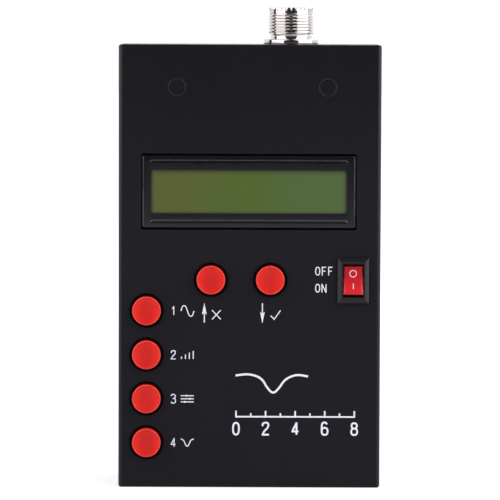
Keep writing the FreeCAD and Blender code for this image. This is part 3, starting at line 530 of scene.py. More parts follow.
# The rocker: painted shade darker towards its top, and a high edge share that paints a highlight along
# its edges as well as wear.
red_rocker = plastic("red_rocker", (0.60, 0.014, 0.024), 0.22, 0.0006, (0.92, 0.14, 0.17),
                     wear_share=0.8, specular=0.40, fade=(0.066, 0.075, 1.06, 0.72))
black_plastic = plastic("black_plastic", (0.0065, 0.0058, 0.0115), 0.33, 0.00035,
                        (0.04, 0.04, 0.048), specular=0.42)
# The bezel: the black plastic again, with painted shade on its faces that look up.
bezel_plastic = plastic("bezel_plastic", (0.0070, 0.0062, 0.0118), 0.33, 0.00035,
                        (0.04, 0.04, 0.048), specular=0.46, upward=0.5)
chip_plastic = plastic("chip_plastic", (0.022, 0.022, 0.024), 0.62, 0.0002, (0.06, 0.06, 0.06))
dark_plastic = plastic("dark_plastic", (0.03, 0.03, 0.03), 0.5, 0.0004, (0.1, 0.1, 0.1))
waxy_white = plastic("waxy_white", (0.80, 0.80, 0.76), 0.38, 0.0006, (0.9, 0.9, 0.88))
milky_plastic = plastic("milky_plastic", (0.62, 0.70, 0.42), 0.45, 0.0004, (0.8, 0.86, 0.6))
pale_rubber = plastic("pale_rubber", (0.55, 0.50, 0.47), 0.7, 0.0002, (0.7, 0.66, 0.62))
red_insulation = plastic("red_insulation", (0.50, 0.02, 0.015), 0.4, 0.0005, (0.6, 0.06, 0.05))


def metal(name, *details):
    return finish(name, plated_metal, *details)


black_zinc = metal("black_zinc", (0.045, 0.045, 0.05), 0.42, (1, 1, 1), 0.5)
nickel = metal("nickel", (0.695, 0.66, 0.65), 0.075, (0.25, 0.25, 3), 0.10)
steel = metal("bright_steel", (0.56, 0.57, 0.58), 0.30, (0.2, 2, 2), 0.3)
gold = metal("gold_flash", (0.82, 0.56, 0.20), 0.24, (2, 0.2, 2), 0.2)
silver = metal("silver_plate", (0.80, 0.72, 0.52), 0.26, (2, 2, 0.3), 0.35)

NODE_FINISH = {
    powder: ["front_cover", "rear_chassis", "panel_standoffs"],
    # The switch covers are black so that the gaps round the caps look dark: painted shade.
    black_zinc: ["cover_screws", "switch_covers"],
    crystal: ["display_glass"],
    milky_plastic: ["display_backlight"],
    pale_rubber: ["display_contact_strips"],
    board: ["display_board", "main_board"],
    steel: ["display_spacers", "display_screws", "board_screws", "shield_can", "switch_domes",
            "battery_strap"],
    gold: ["header_pins"],
    bezel_plastic: ["rocker_housing"],
    black_plastic: ["header_strip", "power_jack", "usb_tongue"]
                   + [name + "_switch" for name in BUTTONS],
    dark_plastic: [name + "_plunger" for name in BUTTONS],
    chip_plastic: ["controller_chip", "synthesizer_chip", "regulator_chip"],
    can_finish: ["capacitors"],
    red_rocker: ["rocker"],
    silver: ["rocker_contact", "rocker_terminals", "socket_contact"],
    waxy_white: ["socket_insulator"],
    nickel: ["socket_washer", "socket_nut", "ground_lug", "power_jack_pin", "usb_socket"],
    red_insulation: ["signal_wire", "battery_lead"],
    sleeve: ["battery_cells"],
}
for material, names in NODE_FINISH.items():
    for name in names:
        nodes[name].data.materials.clear()
        nodes[name].data.materials.append(material)


# ---- meshes ----
JOIN_DISTANCE = 0.002 * MM


class Skin:
    """Corners and faces of one mesh, laid down as rows of corners joined row to row."""

    def __init__(self):
        self.corners, self.faces = [], []

    def cover(self, rows, around=True, closed=False):
        """Faces between each row and the next; around joins the ends of the rows."""
        laid = []
        for points in rows:
            first = len(self.corners)
            self.corners += points
            laid.append(range(first, len(self.corners)))
        for lower, upper in zip(laid, laid[1:] + (laid[:1] if closed else [])):
            count = len(lower)
            for n in range(count if around else count - 1):
                m = (n + 1) % count
                self.faces.append((lower[n], lower[m], upper[m], upper[n]))
        return laid

    def close(self, turned_over, straight):
        """A face over each of two whole rows, one of them turned over."""
        self.faces += [tuple(reversed(turned_over)), tuple(straight)]


def placed(name, data):
    """A new object in the scene."""
    made = bpy.data.objects.new(name, data)
    bpy.context.scene.collection.objects.link(made)
    return made


def piece(name, skin, material, body, replaces=(), sharp=32, weld=False):
    """A mesh that rides on a body, smooth but for edges sharper than an angle."""
    mesh = bpy.data.meshes.new(name)
    mesh.from_pydata(skin.corners, [], skin.faces)
    if weld:
        joined = bmesh.new()
        joined.from_mesh(mesh)
        bmesh.ops.remove_doubles(joined, verts=joined.verts, dist=JOIN_DISTANCE)
        bmesh.ops.dissolve_degenerate(joined, edges=joined.edges, dist=JOIN_DISTANCE)
        bmesh.ops.recalc_face_normals(joined, faces=joined.faces)
        joined.to_mesh(mesh)
        joined.free()
    mesh.validate()
    mesh.materials.append(material)
    mesh.shade_smooth()
    mesh.set_sharp_from_angle(angle=radians(sharp))
    made = placed(name, mesh)
    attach(made, body)
    if replaces:
        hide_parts(*replaces)


def rounded(points, steps=4):
    """An outline of (across, along, rounding) corners, with each corner rounded by an arc."""
    outline = []
    for n, (x, y, radius) in enumerate(points):
        here = Vector((x, y))
        if radius == 0 or n in (0, len(points) - 1):
            outline.append((x, y))
            continue
        before = (Vector(points[n - 1][:2]) - here).normalized()
        after = (Vector(points[n + 1][:2]) - here).normalized()
        half = before.angle(after) / 2
        centre = here + (before + after).normalized() * radius / sin(half)
        start = (here + before * radius / tan(half) - centre).normalized()
        end = (here + after * radius / tan(half) - centre).normalized()
        outline += [tuple(centre + start.slerp(end, step / steps) * radius)
                    for step in range(steps + 1)]
    return outline


def all_round(count):
    """Even turns once about an axis, in radians."""
    return [2 * pi * n / count for n in range(count)]


def turned_along_y(outline, x, z, count=96):
    """Rows of corners: (radius, y) points turned about a line along Y."""
    return [[Vector((x + radius * cos(turn), y, z + radius * sin(turn)))
             for turn in all_round(count)] for radius, y in outline]


def soften(name, width):
    """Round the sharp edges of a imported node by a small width."""
    node = nodes[name]
    node.modifiers.new("weld", "WELD").merge_threshold = JOIN_DISTANCE
    flatten = node.modifiers.new("flatten", "DECIMATE")
    flatten.decimate_type = "DISSOLVE"
    flatten.angle_limit = radians(0.5)
    edge = node.modifiers.new("soft_edge", "BEVEL")
    edge.width = width
    edge.segments = 2
    edge.limit_method = "ANGLE"
    edge.angle_limit = radians(40)
    edge.harden_normals = True


# ---- push button caps ----
CAP_RIM = 0.26 * MM
CAP_DISH = 0.28 * MM
CAP_DRAFT = 0.2 * MM
CAP_WALL = 1.2 * MM
CAP_ROOF = 2.2 * MM
CAP_BORE = 0.4 * MM
CAP_SHORT = 0.3 * MM
# Shares of the face's radius from the middle to the lip, and over the lip with the dish's depth.
CAP_FACE = (0.005, 0.08, 0.18, 0.3, 0.45, 0.6, 0.75, 0.88, 0.93)
CAP_LIP = ((0.95, 0.40), (0.965, 0.27), (0.98, 0.10), (0.99, 0.03))


def button_cap(name):
    """A round cap with a dished face, a rounded rim and a drafted skirt, hollow behind."""
    low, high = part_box(name + "_cap")
    centre = middle(name + "_cap")
    skirt = (high.x - low.x) / 2
    radius = skirt - CAP_DRAFT
    face = radius - CAP_RIM
    front, bottom = low.y, high.y - CAP_SHORT
    outline = [(face * share, front + CAP_DISH * (1 - 0.6 * share ** 2)) for share in CAP_FACE]
    outline += [(face * share, front + CAP_DISH * depth) for share, depth in CAP_LIP]
    outline += rounded([(face, front, 0), (radius, front, CAP_RIM), (skirt, bottom, 0)], 6)
    outline += [(skirt - CAP_WALL, bottom), (skirt - CAP_WALL, front + CAP_ROOF),
                (CAP_BORE, front + CAP_ROOF)]
    skin = Skin()
    laid = skin.cover(turned_along_y(outline, centre.x, centre.z))
    skin.close(laid[-1], laid[0])
    piece(name + "_cap_moulding", skin, red_cap, name + "_button", [name + "_cap"])


for name in BUTTONS:
    button_cap(name)


# ---- rubber feet ----
FOOT_RADIUS = 5.0 * MM
FOOT_DISH = 0.35 * MM
FOOT_PIP = 0.15 * MM


def rubber_feet():
    """Four moulded feet, each with a rounded lip, a shallow dish and a small pip."""
    low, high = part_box("rubber_feet")
    base, tip = low.y, high.y
    dish, pip = tip - FOOT_DISH, tip - FOOT_PIP
    outline = rounded([(FOOT_RADIUS, base, 0), (FOOT_RADIUS, base + 0.4 * MM, 0.15 * MM),
                       (FOOT_RADIUS - 0.5 * MM, tip, 0.5 * MM),
                       (FOOT_RADIUS - 1.6 * MM, tip, 0.35 * MM),
                       (FOOT_RADIUS - 2.1 * MM, dish, 0.3 * MM), (1.0 * MM, dish, 0.1 * MM),
                       (0.8 * MM, pip, 0.1 * MM), (0.3 * MM, pip, 0)])
    skin = Skin()
    for x in (low.x + FOOT_RADIUS, high.x - FOOT_RADIUS):
        for z in (low.z + FOOT_RADIUS, high.z - FOOT_RADIUS):
            laid = skin.cover(turned_along_y(outline, x, z, 72))
            skin.close(laid[0], laid[-1])
    piece("rubber_feet_moulding", skin, rubber, "case", ["rubber_feet"])


rubber_feet()


# ---- display frame ----
FRAME_SHEET = 0.5 * MM
FRAME_FOLD = 0.55 * MM
FRAME_CORNER = 0.75 * MM
FRAME_LIP = 0.16 * MM
INNER_CORNER = 0.3 * MM
LEAST_CORNER = 0.2 * MM
VIEW_SIDE = 3.0 * MM
VIEW_END = 5.0 * MM
VIEW_CORNER = 1.1 * MM
RIB_WIDTH = 1.35 * MM
RIB_HEIGHT = 0.3 * MM
RIB_UPPER_FLANK = 0.70 * MM
RIB_LOWER_FLANK = 0.16 * MM
RIB_SUNK = 0.02 * MM
RIB_ROUND = 0.499


def rounded_loop(centre, width, height, corner, y, steps=5):
    """A rectangle with rounded corners, in a plane across Y."""
    points = []
    for right, top, start in ((1, 1, 0), (-1, 1, 90), (-1, -1, 180), (1, -1, 270)):
        for step in range(steps + 1):
            turn = radians(start + 90 * step / steps)
            points.append(Vector((
                centre.x + right * (width / 2 - corner) + corner * cos(turn), y,
                centre.z + top * (height / 2 - corner) + corner * sin(turn))))
    return points


def rib(skin, at, length, face):
    """A pressed rib, closed at its ends, with a long flank above and a steep one below."""
    rows = [rounded_loop(at, length, RIB_WIDTH, RIB_WIDTH * RIB_ROUND, face + RIB_SUNK)]
    for step in range(7):
        share = step / 6
        across = RIB_WIDTH - (RIB_UPPER_FLANK + RIB_LOWER_FLANK) * share
        sink = Vector((0, 0, (RIB_UPPER_FLANK - RIB_LOWER_FLANK) / 2 * share))
        rise = RIB_HEIGHT * share * share * (3 - 2 * share)
        rows.append(rounded_loop(at - sink, length - RIB_WIDTH + across, across,
                                 across * RIB_ROUND, face - rise))
    laid = skin.cover(rows)
    skin.close(laid[0], laid[-1])


def display_frame():
    """A pressed steel frame: folded edges, rolled view opening and two ribs."""
    low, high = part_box("display_frame")
    centre = middle("display_frame")
    width, height = high.x - low.x, high.z - low.z
    face = low.y + RIB_HEIGHT
    back, glass = high.y, face + FRAME_SHEET
    view_width, view_height = width - 2 * VIEW_SIDE, height - 2 * VIEW_END

    def loop(*sizes):
        return rounded_loop(centre, *sizes)

    rows = [loop(view_width, view_height, VIEW_CORNER, glass)]
    for step in range(5):
        turn = radians(90 * step / 4)
        out = 2 * FRAME_LIP * (1 - cos(turn))
        rows.append(loop(view_width + out, view_height + out, VIEW_CORNER + out / 2,
                         face + FRAME_LIP * (1 - sin(turn))))
    for step in range(7):
        turn = radians(90 * step / 6)
        inset = 2 * FRAME_FOLD * (1 - sin(turn))
        rows.append(loop(width - inset, height - inset, max(FRAME_CORNER - inset / 2, LEAST_CORNER),
                         face + FRAME_FOLD * (1 - cos(turn))))
    rows.append(loop(width, height, FRAME_CORNER, back))
    for depth in (back, glass):
        rows.append(loop(width - 2 * FRAME_SHEET, height - 2 * FRAME_SHEET, INNER_CORNER, depth))
    skin = Skin()
    skin.cover(rows, closed=True)
    for z in (low.z + RIB_INSET, high.z - RIB_INSET):
        rib(skin, Vector((centre.x, 0, z)), width - 2 * RIB_END, face)
    piece("display_frame_pressing", skin, display_paint, "case", ["display_frame"])


display_frame()


# ---- antenna socket ----
TEETH = 28
TOOTH_STEPS = (0, 0.14, 0.28, 0.39, 0.5, 0.61, 0.72, 0.86)
TOOTH_FLANK = 0.28
TOOTH_DEPTH = 1.3 * MM
THREAD_RADIUS = 7.94 * MM
THREAD_END_RADIUS = 7.6 * MM
THREAD_END_SLOPE = 0.8
THREAD_DEPTH = 0.60 * MM
THREAD_PITCH = 25.4 / 24 * MM
# One pitch of thread: share of the pitch and share of the depth.
THREAD_FORM = [(0.0, 0.06), (0.03, 0.0), (0.21, 0.0), (0.24, 0.06), (0.44, 0.86), (0.50, 0.98),
               (0.62, 1.0), (0.74, 0.98), (0.80, 0.86)]
CROWN_RADIUS = 7.4 * MM
CROWN_HEIGHT = 1.9 * MM
CROWN_EDGE = 0.08 * MM
THREAD_HEIGHT = 7.1 * MM
NECK_RADIUS = 7.0 * MM
NECK_HEIGHT = 1.75 * MM
FLANGE_HEIGHT = 1.75 * MM
BARREL_RADIUS = 7.5 * MM
BARREL_LENGTH = 8.0 * MM
MOUTH_RADIUS = 6.0 * MM
MOUTH_DEPTH = 5.5 * MM
BORE_RADIUS = 5.2 * MM


def socket_shell():
    """Flange, neck, right-hand thread, toothed rim and bore, as one skin about the axis."""
    low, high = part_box("socket_shell")
    centre = middle("socket_shell")
    flange_radius = (high.x - low.x) / 2
    mouth = high.z
    crown = mouth - CROWN_HEIGHT
    thread = crown - THREAD_HEIGHT
    flange_top = thread - NECK_HEIGHT
    flange = flange_top - FLANGE_HEIGHT
    barrel_end = flange - BARREL_LENGTH
    under_teeth = mouth - TOOTH_DEPTH - 2 * CROWN_EDGE
    turns = [(tooth + share) / TEETH for tooth in range(TEETH) for share in TOOTH_STEPS] + [1.0]

    def ring(radius_at, z_at):
        return [Vector((centre.x + radius_at(turn) * cos(2 * pi * turn),
                        centre.y + radius_at(turn) * sin(2 * pi * turn), z_at(turn)))
                for turn in turns]

    def plain(radius, z):
        return ring(lambda turn: radius, lambda turn: z)

    def climbing(start, dip):
        """A row that climbs one pitch on its way round, trimmed by a chamfer at both ends."""
        def z_at(turn):
            return min(max(thread + THREAD_PITCH * (start + turn), thread), crown)

        def radius_at(turn):
            room = min(z_at(turn) - thread, crown - z_at(turn))
            return min(THREAD_RADIUS - THREAD_DEPTH * dip, THREAD_END_RADIUS + room * THREAD_END_SLOPE)

        return ring(radius_at, z_at)

    def toothed(radius, drop=0.0):
        """A row that goes up and down with the teeth, a drop below their tops."""
        def z_at(turn):
            from_notch = 0.5 - abs((turn * TEETH) % 1.0 - 0.5)
            return mouth - TOOTH_DEPTH * (1 - min(from_notch / TOOTH_FLANK, 1.0)) - drop

        return ring(lambda turn: radius, z_at)

    outside = rounded([(BARREL_RADIUS, barrel_end, 0), (BARREL_RADIUS, flange, 0),
                       (flange_radius, flange, 0.12 * MM), (flange_radius, flange_top, 0.3 * MM),
                       (NECK_RADIUS, flange_top, 0.15 * MM), (NECK_RADIUS, thread, 0.1 * MM),
                       (THREAD_END_RADIUS, thread, 0)])
    rows = [plain(BORE_RADIUS, barrel_end)] + [plain(*point) for point in outside]
    pitches = THREAD_HEIGHT / THREAD_PITCH
    rows += [climbing(whole + share, dip) for whole in range(-1, ceil(pitches))
             for share, dip in THREAD_FORM if whole + share < pitches]
    rows += [plain(THREAD_END_RADIUS, crown), plain(CROWN_RADIUS, crown),
             plain(CROWN_RADIUS, under_teeth), toothed(CROWN_RADIUS, CROWN_EDGE),
             toothed(CROWN_RADIUS - CROWN_EDGE), toothed(MOUTH_RADIUS + CROWN_EDGE),
             toothed(MOUTH_RADIUS, CROWN_EDGE), plain(MOUTH_RADIUS, under_teeth),
             plain(MOUTH_RADIUS, mouth - MOUTH_DEPTH), plain(BORE_RADIUS, mouth - MOUTH_DEPTH)]
    skin = Skin()
    skin.cover(rows, around=False, closed=True)
    piece("socket_shell_turned", skin, nickel, "case", ["socket_shell"], 38, weld=True)


socket_shell()


# ---- coat round the pressed-in standoffs ----
STUD_HEAD_RADIUS = 3.175 * MM
BEAD_RADIUS = STUD_HEAD_RADIUS - 0.30 * MM
BEAD_FORM = [(-1.0, -0.2), (-0.85, 0.25), (-0.45, 0.85), (0, 1.0), (0.45, 0.85), (0.85, 0.25),
             (1.0, -0.2)]
# Millimetres of half width and of rise: a level, then waves as (height, count, shift).
BEAD_HALF_WIDTH = (0.19, (0.04, 3, 1), (0.03, 8, 0), (0.025, 13, 2))
BEAD_RISE = (0.08, (0.025, 5, 2), (0.02, 11, 0))


def uneven(turn, number, level, *waves):
    """A size at a turn round a bead; the number of the bead shifts its waves."""
    return MM * (level + sum(height * sin(count * turn + shift * number)
                             for height, count, shift in waves))


def stud_beads(name, numbers, coat):
    """The uneven bead of coat round some of the standoff heads pressed into the panel."""
    low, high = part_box("panel_standoffs")
    places = [(x, z) for x in (low.x + STUD_HEAD_RADIUS, high.x - STUD_HEAD_RADIUS)
              for z in (low.z + STUD_HEAD_RADIUS, high.z - STUD_HEAD_RADIUS)]
    skin = Skin()
    for number in numbers:
        x, z = places[number + 1]
        rows = []
        for across, up in BEAD_FORM:
            row = []
            for turn in all_round(96):
                radius = BEAD_RADIUS + across * uneven(turn, number, *BEAD_HALF_WIDTH)
                rise = up * uneven(turn, number, *BEAD_RISE)
                row.append(Vector((x + radius * cos(turn), front_y - rise,
                                   z + radius * sin(turn))))
            rows.append(row)
        skin.cover(rows)
    piece(name, skin, coat, "case", sharp=60)


# The two upper beads take the lighter coat, a painted highlight; the lower one keeps the panel's coat.
stud_beads("stud_beads", (0, 2), highlighted_bead_coat)
stud_beads("faint_stud_bead", (1,), powder)


# ---- printed marks ----
INK_THICKNESS = 0.03 * MM
INK_STEP = 0.004 * MM
LETTER_WIDTH = 1.36 * MM
LETTER_HEIGHT = 2.75 * MM
LETTER_PITCH = 2.15 * MM
LETTER_LINE = 0.35 * MM


def on_panel(point, lift):
    return Vector((point.x, front_y - lift, point.y))


def cut_corners(points, loop):
    """Round a run of points by cutting each corner three times, more finely each time."""
    for _ in range(3):
        cut = []
        for (ax, az), (bx, bz) in zip(points, points[1:] + (points[:1] if loop else [])):
            cut += [(ax * 0.75 + bx * 0.25, az * 0.75 + bz * 0.25),
                    (ax * 0.25 + bx * 0.75, az * 0.25 + bz * 0.75)]
        points = cut if loop else [points[0]] + cut[1:-1] + [points[-1]]
    return points


def stroke(skin, points, width, loop=False, layer=0, surface=on_panel):
    """A flat printed line of even width through points; a line that crosses another is a layer up."""
    top = INK_THICKNESS + layer * INK_STEP
    flat = [Vector(point) for point in points]
    count = len(flat)
    left, right = [], []
    for n, here in enumerate(flat):
        ahead = flat[(n + 1) % count] - here if loop or n < count - 1 else here - flat[n - 1]
        behind = here - flat[n - 1] if loop or n > 0 else ahead
        ahead, behind = ahead.normalized(), behind.normalized()
        lean = (ahead + behind).normalized()
        side = Vector((-lean.y, lean.x)) * width / 2 / max(lean.dot(ahead), 0.5)
        left.append(here + side)
        right.append(here - side)
    rows = [[surface(point, lift) for point in edge]
            for edge, lift in ((left, top), (left, 0.0), (right, 0.0), (right, top))]
    laid = skin.cover(rows, around=loop, closed=True)
    if not loop:
        skin.close([row[-1] for row in laid], [row[0] for row in laid])


def patch(skin, points):
    """A flat printed shape inside an outline."""
    under, top = skin.cover([[on_panel(Vector(point), lift) for point in points]
                             for lift in (0.0, INK_THICKNESS)])
    skin.close(under, top)


def draw(skin, strokes, x, z, width, height=LETTER_HEIGHT, line=LETTER_LINE):
    """Print strokes drawn on a cell of this width and height, its lower left corner at x, z."""
    for layer, (kind, *points) in enumerate(strokes):
        loop = kind == "loop"
        laid = [(x + width * across, z + height * up) for across, up in points]
        if kind != "sharp":
            laid = cut_corners(laid, loop)
        stroke(skin, laid, line, loop, layer)


# Each figure is a list of strokes on a cell 1 wide and 1 high: kind and points.
FIGURES = {
    "0": [["loop", (0, 0), (1, 0), (1, 1), (0, 1)]],
    "1": [["sharp", (0.18, 0.78), (0.62, 1.02)], ["sharp", (0.60, 1.08), (0.60, 0)]],
    "2": [["round", (0, 0.72), (0.02, 1.0), (0.98, 1.04), (0.98, 0.62), (0.25, 0.30), (0.04, 0.02)],
          ["sharp", (-0.14, 0), (1.08, 0)]],
    "3": [["round", (0, 0.86), (0.15, 1.05), (1.0, 1.02), (1.0, 0.56), (0.35, 0.54)],
          ["round", (0.35, 0.54), (1.05, 0.52), (1.05, -0.05), (0.1, -0.04), (0, 0.16)]],
    "4": [["sharp", (0.74, 0), (0.74, 1.06)], ["sharp", (0.74, 1), (0.02, 0.28)],
          ["sharp", (-0.10, 0.28), (1.08, 0.28)]],
    "6": [["round", (0.92, 0.90), (0.60, 1.08), (0.0, 1.0), (0.0, 0.30)],
          ["loop", (0, 0), (1, 0), (1, 0.60), (0, 0.60)]],
    "8": [["loop", (0, 0), (1, 0), (1, 0.54), (0, 0.54)],
          ["loop", (0.06, 0.54), (0.94, 0.54), (0.94, 1), (0.06, 1)]],
    "O": [["loop", (0, 0.05), (1, 0.05), (1, 1), (0, 1)]],
    "N": [["sharp", (0, 0), (0, 1.06)], ["sharp", (0.02, 1), (0.98, 0.02)],
          ["sharp", (1, -0.04), (1, 1.02)]],
    "F": [["sharp", (0.06, 0), (0.06, 1), (1, 1)], ["sharp", (0.06, 0.53), (0.86, 0.53)]],
}


def word(skin, text, x, z):
    """Narrow capitals or figures, middle height at z."""
    for n, letter in enumerate(text):
        draw(skin, FIGURES[letter], x + n * LETTER_PITCH + LETTER_LINE / 2, z - LETTER_HEIGHT / 2,
             LETTER_WIDTH)


# The sign beside each button of the column, drawn as the figures are.
SIGNS = {
    "key_1": [["round", (0, 0.5), (0.12, 1.15), (0.36, 1.15), (0.5, 0.5), (0.64, -0.15), (0.88, -0.15),
               (1, 0.5)]],
    "key_2": [["sharp", (share, 0), (share, top)]
              for share, top in ((0.05, 0.30), (0.35, 0.55), (0.65, 0.78), (0.95, 1.0))],
    "key_3": [["sharp", (0, level), (1, level)] for level in (0.12, 0.5, 0.88)]
             + [["sharp", (at, level - 0.13), (at, level + 0.13)]
                for at, level in ((0.3, 0.12), (0.72, 0.5), (0.42, 0.88))],
    "key_4": [["round", (0, 0.95), (0.22, 0.85), (0.40, 0.15), (0.5, 0.02), (0.60, 0.15),
               (0.78, 0.85), (1, 0.95)]],
}
COLUMN_TEXT_X = -26.5 * MM
COLUMN_SIGN_X = -23.1 * MM
COLUMN_DROP = 0.1 * MM
SIGN_WIDTH = 4.4 * MM


def column_labels(skin):
    for number, (name, strokes) in enumerate(SIGNS.items(), start=1):
        z = middle(name + "_cap").z - COLUMN_DROP
        word(skin, str(number), COLUMN_TEXT_X, z)
        draw(skin, strokes, COLUMN_SIGN_X, z - LETTER_HEIGHT / 2, SIGN_WIDTH)


# Places of the two arrows: across, tail and tip.
UP_ARROW = (-15.2 * MM, 55.87 * MM, 62.6 * MM)
DOWN_ARROW = (4.4 * MM, 62.5 * MM, 55.6 * MM)
ARROW_HALF = 0.80 * MM
ARROW_HEAD = 4.0 * MM
ARROW_NECK = 3.3 * MM
ARROW_LAP = 0.4 * MM
ARROW_LINE = 0.38 * MM
CROSS = [["sharp", (0, 0), (1, 1)], ["sharp", (0, 1), (1, 0)]]
TICK = [["sharp", (0, 0.42), (0.36, 0.02), (1, 1)]]
ARROW_SIGN_Z = 57.0 * MM
ARROW_SIGN_HEIGHT = 3.1 * MM


def arrow(skin, x, tail, tip):
    """A slim arrow with a long head, from its tail to its tip."""
    way = 1 if tip > tail else -1
    neck, barbs = tip - way * ARROW_NECK, tip - way * ARROW_HEAD
    patch(skin, [(x, tip), (x - way * ARROW_HALF, barbs), (x, neck), (x + way * ARROW_HALF, barbs)])
    stroke(skin, [(x, tail), (x, neck + way * ARROW_LAP)], ARROW_LINE, layer=1)


def arrow_labels(skin):
    arrow(skin, *UP_ARROW)
    arrow(skin, *DOWN_ARROW)
    draw(skin, CROSS, -12.6 * MM, ARROW_SIGN_Z, 2.9 * MM, ARROW_SIGN_HEIGHT)
    draw(skin, TICK, 7.2 * MM, ARROW_SIGN_Z, 3.3 * MM, ARROW_SIGN_HEIGHT)


DIP = [["round", (0, 0.90), (0.18, 1.0), (0.36, 0.78), (0.44, 0.20), (0.52, -0.10), (0.60, 0.20),
        (0.68, 0.70), (0.84, 0.98), (1, 0.86)]]
# The lower left corner, the width and the height of the cell that the dip is drawn on.
DIP_CELL = (-4.6 * MM, 32.4 * MM, 24.5 * MM, 6.2 * MM)
DIP_LINE = 0.72 * MM
SCALE_LEFT = -4.4 * MM
SCALE_BASE = 24.0 * MM
SCALE_PITCH = 5.0 * MM
SCALE_LINE = 0.55 * MM
SCALE_OVERHANG = 0.27 * MM
SCALE_HEIGHTS = (2.0 * MM, 1.2 * MM)
NUMBER_Z = 17.9 * MM
NUMBER_WIDTH = 2.0 * MM
NUMBER_HEIGHT = 4.0 * MM
NUMBER_LINE = 0.62 * MM


def scale_panel(skin):
    """A dip drawn over a numbered scale."""
    draw(skin, DIP, *DIP_CELL, DIP_LINE)
    for number in range(9):
        x = SCALE_LEFT + number * SCALE_PITCH
        top = SCALE_BASE + SCALE_HEIGHTS[number % 2]
        stroke(skin, [(x, SCALE_BASE), (x, top)], SCALE_LINE)
        if number % 2 == 0:
            draw(skin, FIGURES[str(number)], x - NUMBER_WIDTH / 2, NUMBER_Z, NUMBER_WIDTH,
                 NUMBER_HEIGHT, NUMBER_LINE)
    right = SCALE_LEFT + 8 * SCALE_PITCH
    stroke(skin, [(SCALE_LEFT - SCALE_OVERHANG, SCALE_BASE), (right + SCALE_OVERHANG, SCALE_BASE)],
           SCALE_LINE, layer=1)


SWITCH_TEXT_X = 22.15 * MM
SWITCH_WORDS = {"OFF": 73.36 * MM, "ON": 67.60 * MM}


def printed_marks():
    skin = Skin()
    for text, z in SWITCH_WORDS.items():
        word(skin, text, SWITCH_TEXT_X, z)
    column_labels(skin)
    arrow_labels(skin)
    scale_panel(skin)
    piece("printed_marks", skin, white_ink, "case")


printed_marks()


# ---- marks on the rocker ----
ROCKER_FACE = 1.8 * MM
ROCKER_HALF = 5.233 * MM
ROCKER_HOLLOW = 0.6 * MM
RING_RADIUS = 1.12 * MM
RING_X, RING_Z = -0.08 * MM, 2.24 * MM
RING_LINE = 0.30 * MM
BAR_X, BAR_Z = -0.02 * MM, -2.98 * MM
BAR_STEP = 0.24 * MM
BAR_LINE = 0.33 * MM


def rocker_marks():
    """The ring and the bar on the rocker's hollow face."""
    joint = next(j for j in frame["joints"] if j["name"] == "rocker_tilt")
    pivot = Vector(joint["pos_m"])
    tilt = Matrix.Rotation(radians(-joint["range_deg"][1] / 2), 3, "X")
    bend = (ROCKER_HALF ** 2 + ROCKER_HOLLOW ** 2) / (2 * ROCKER_HOLLOW)

    def on_rocker(point, lift):
        out = ROCKER_FACE - ROCKER_HOLLOW + bend - sqrt(bend ** 2 - point.y ** 2) + lift
        return pivot + tilt @ Vector((point.x, -out, point.y))

    skin = Skin()
    ring = [(RING_X + RING_RADIUS * cos(turn), RING_Z + RING_RADIUS * sin(turn))
            for turn in all_round(48)]
    stroke(skin, ring, RING_LINE, loop=True, surface=on_rocker)
    bar = [(BAR_X, BAR_Z + BAR_STEP * n) for n in range(9)]
    stroke(skin, bar, BAR_LINE, surface=on_rocker)
    piece("rocker_marks", skin, rocker_ink, "rocker")


rocker_marks()


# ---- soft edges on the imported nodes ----
SOFT_EDGES = {
    "front_cover": 0.08, "rear_chassis": 0.10, "cover_screws": 0.06, "rocker": 0.13,
    "rocker_housing": 0.09, "panel_standoffs": 0.05, "display_glass": 0.1, "main_board": 0.08,
    "display_board": 0.08, "shield_can": 0.15, "controller_chip": 0.15, "synthesizer_chip": 0.12,
    "regulator_chip": 0.12, "socket_insulator": 0.15, "socket_nut": 0.2, "socket_washer": 0.08,
    "power_jack": 0.15, "usb_tongue": 0.08, "usb_socket": 0.06, "header_strip": 0.12,
    "battery_strap": 0.1,
}
for name, width in SOFT_EDGES.items():
    soften(name, width * MM)


# ---- floor, light and camera ----
FLOOR_HALF = 6.0
FLOOR_LEVEL = -0.2 * MM
WHITE = (1, 1, 1)


def pale_floor(tree):
    """Matte and pale, glowing white to the camera and, behind the object, to its reflections."""
    rays = add(tree, "LightPath")
    where = place_on(tree)
    away = add(tree, "VectorMath", {0: where}, operation="LENGTH")["Value"]
    glow = ease(away, 0.12, 0.7, 0.66)
    behind = spread(axes(where)[1], -0.05, 0.25)
    mirrored = behind * (rays["Is Glossy Ray"] + rays["Is Transmission Ray"])
    seen = calc("ADD", rays["Is Camera Ray"], mirrored, clamp=True)
    return {"Base Color": (0.50, 0.50, 0.50), "Roughness": 0.9, "Specular IOR Level": 0.0,
            "Emission Color": WHITE, "Emission Strength": seen * glow}


def floor():
    """A wide pale floor, a hair under the object, that shows as white but keeps its shadow."""
    mesh = bpy.data.meshes.new("floor")
    sides = ((-1, -1), (1, -1), (1, 1), (-1, 1))
    mesh.from_pydata([(x * FLOOR_HALF, y * FLOOR_HALF, FLOOR_LEVEL) for x, y in sides], [],
                     [(0, 1, 2, 3)])
    mesh.materials.append(finish("pale_floor", pale_floor))
    made_floor = placed("floor", mesh)


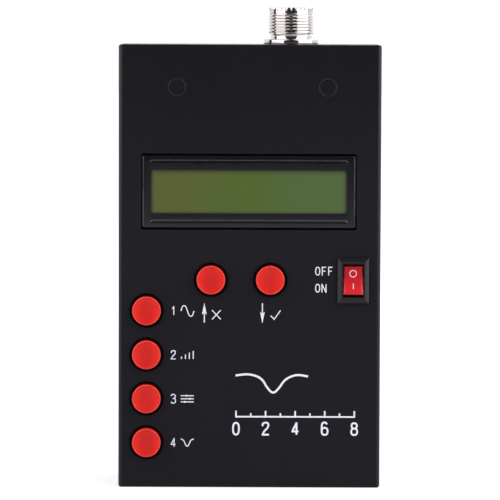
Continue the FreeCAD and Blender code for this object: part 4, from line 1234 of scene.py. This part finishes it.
def surroundings():
    """White low behind the object and to the camera, dim in front and overhead."""
    world = bpy.data.worlds.new("studio")
    bpy.context.scene.world = world
    world.use_nodes = True
    tree = world.node_tree
    rays = add(tree, "LightPath")
    x, y, z = axes(add(tree, "TexCoord")["Generated"])
    behind = ease(y + x * 0.05, 0.225, 0.27) * spread(z, 0.35, 0.75, 1.0, 0.15)
    seen = calc("ADD", rays["Is Glossy Ray"] * behind,
                rays["Is Camera Ray"] + rays["Is Transmission Ray"], clamp=True)
    off_screen = blended(rays["Is Glossy Ray"], (0.30, 0.30, 0.31), (0.03, 0.03, 0.032))
    feed(tree.nodes["Background"].inputs["Color"], blended(seen, off_screen, WHITE))


def aimed(name, data, aim, azimuth, elevation, distance, roll=0.0):
    """A light or camera that looks at a point from azimuth, 0 in front."""
    turn, rise = radians(azimuth), radians(elevation)
    away = Vector((sin(turn) * cos(rise), -cos(turn) * cos(rise), sin(rise)))
    made = placed(name, data)
    made.location = aim + away * distance
    made.rotation_mode = "QUATERNION"
    made.rotation_quaternion = ((-away).to_track_quat("-Z", "Y")
                                @ Matrix.Rotation(radians(roll), 3, "Z").to_quaternion())
    return made


def softbox(name, azimuth, elevation, distance, width, height, radiance):
    """A soft rectangular light aimed at the middle of the object."""
    light = bpy.data.lights.new(name, "AREA")
    light.shape = "RECTANGLE"
    light.size, light.size_y = width, height
    light.energy = radiance * pi * width * height
    middle_of_case = Vector((0, 0, case_top / 2))
    aimed(name, light, middle_of_case, azimuth, elevation, distance).visible_camera = False


def camera():
    """A long lens a little above the object's middle."""
    view_width, sensor_width = 0.1686, 36
    elevation, distance, roll = 3.8, 1.2, 0.2
    data = bpy.data.cameras.new("camera")
    data.sensor_width = sensor_width
    data.lens = sensor_width * distance / view_width
    data.clip_start, data.clip_end = 0.05, 50
    aim = Vector((0.00014, front_y, 0.0805))
    bpy.context.scene.camera = aimed("camera", data, aim, 0, elevation, distance, roll)


floor()
surroundings()
softbox("left_softbox", -60, 33, 1.2, 1.50, 1.7, 1.75)
softbox("right_softbox", 66, 33, 1.2, 1.78, 1.7, 2.3)
softbox("top_softbox", 0, 80, 1.2, 0.9, 0.5, 0.12)
softbox("rear_softbox", 160, 35, 1.4, 1.0, 0.8, 1.6)
camera()
bpy.context.scene.view_settings.view_transform = "Standard"
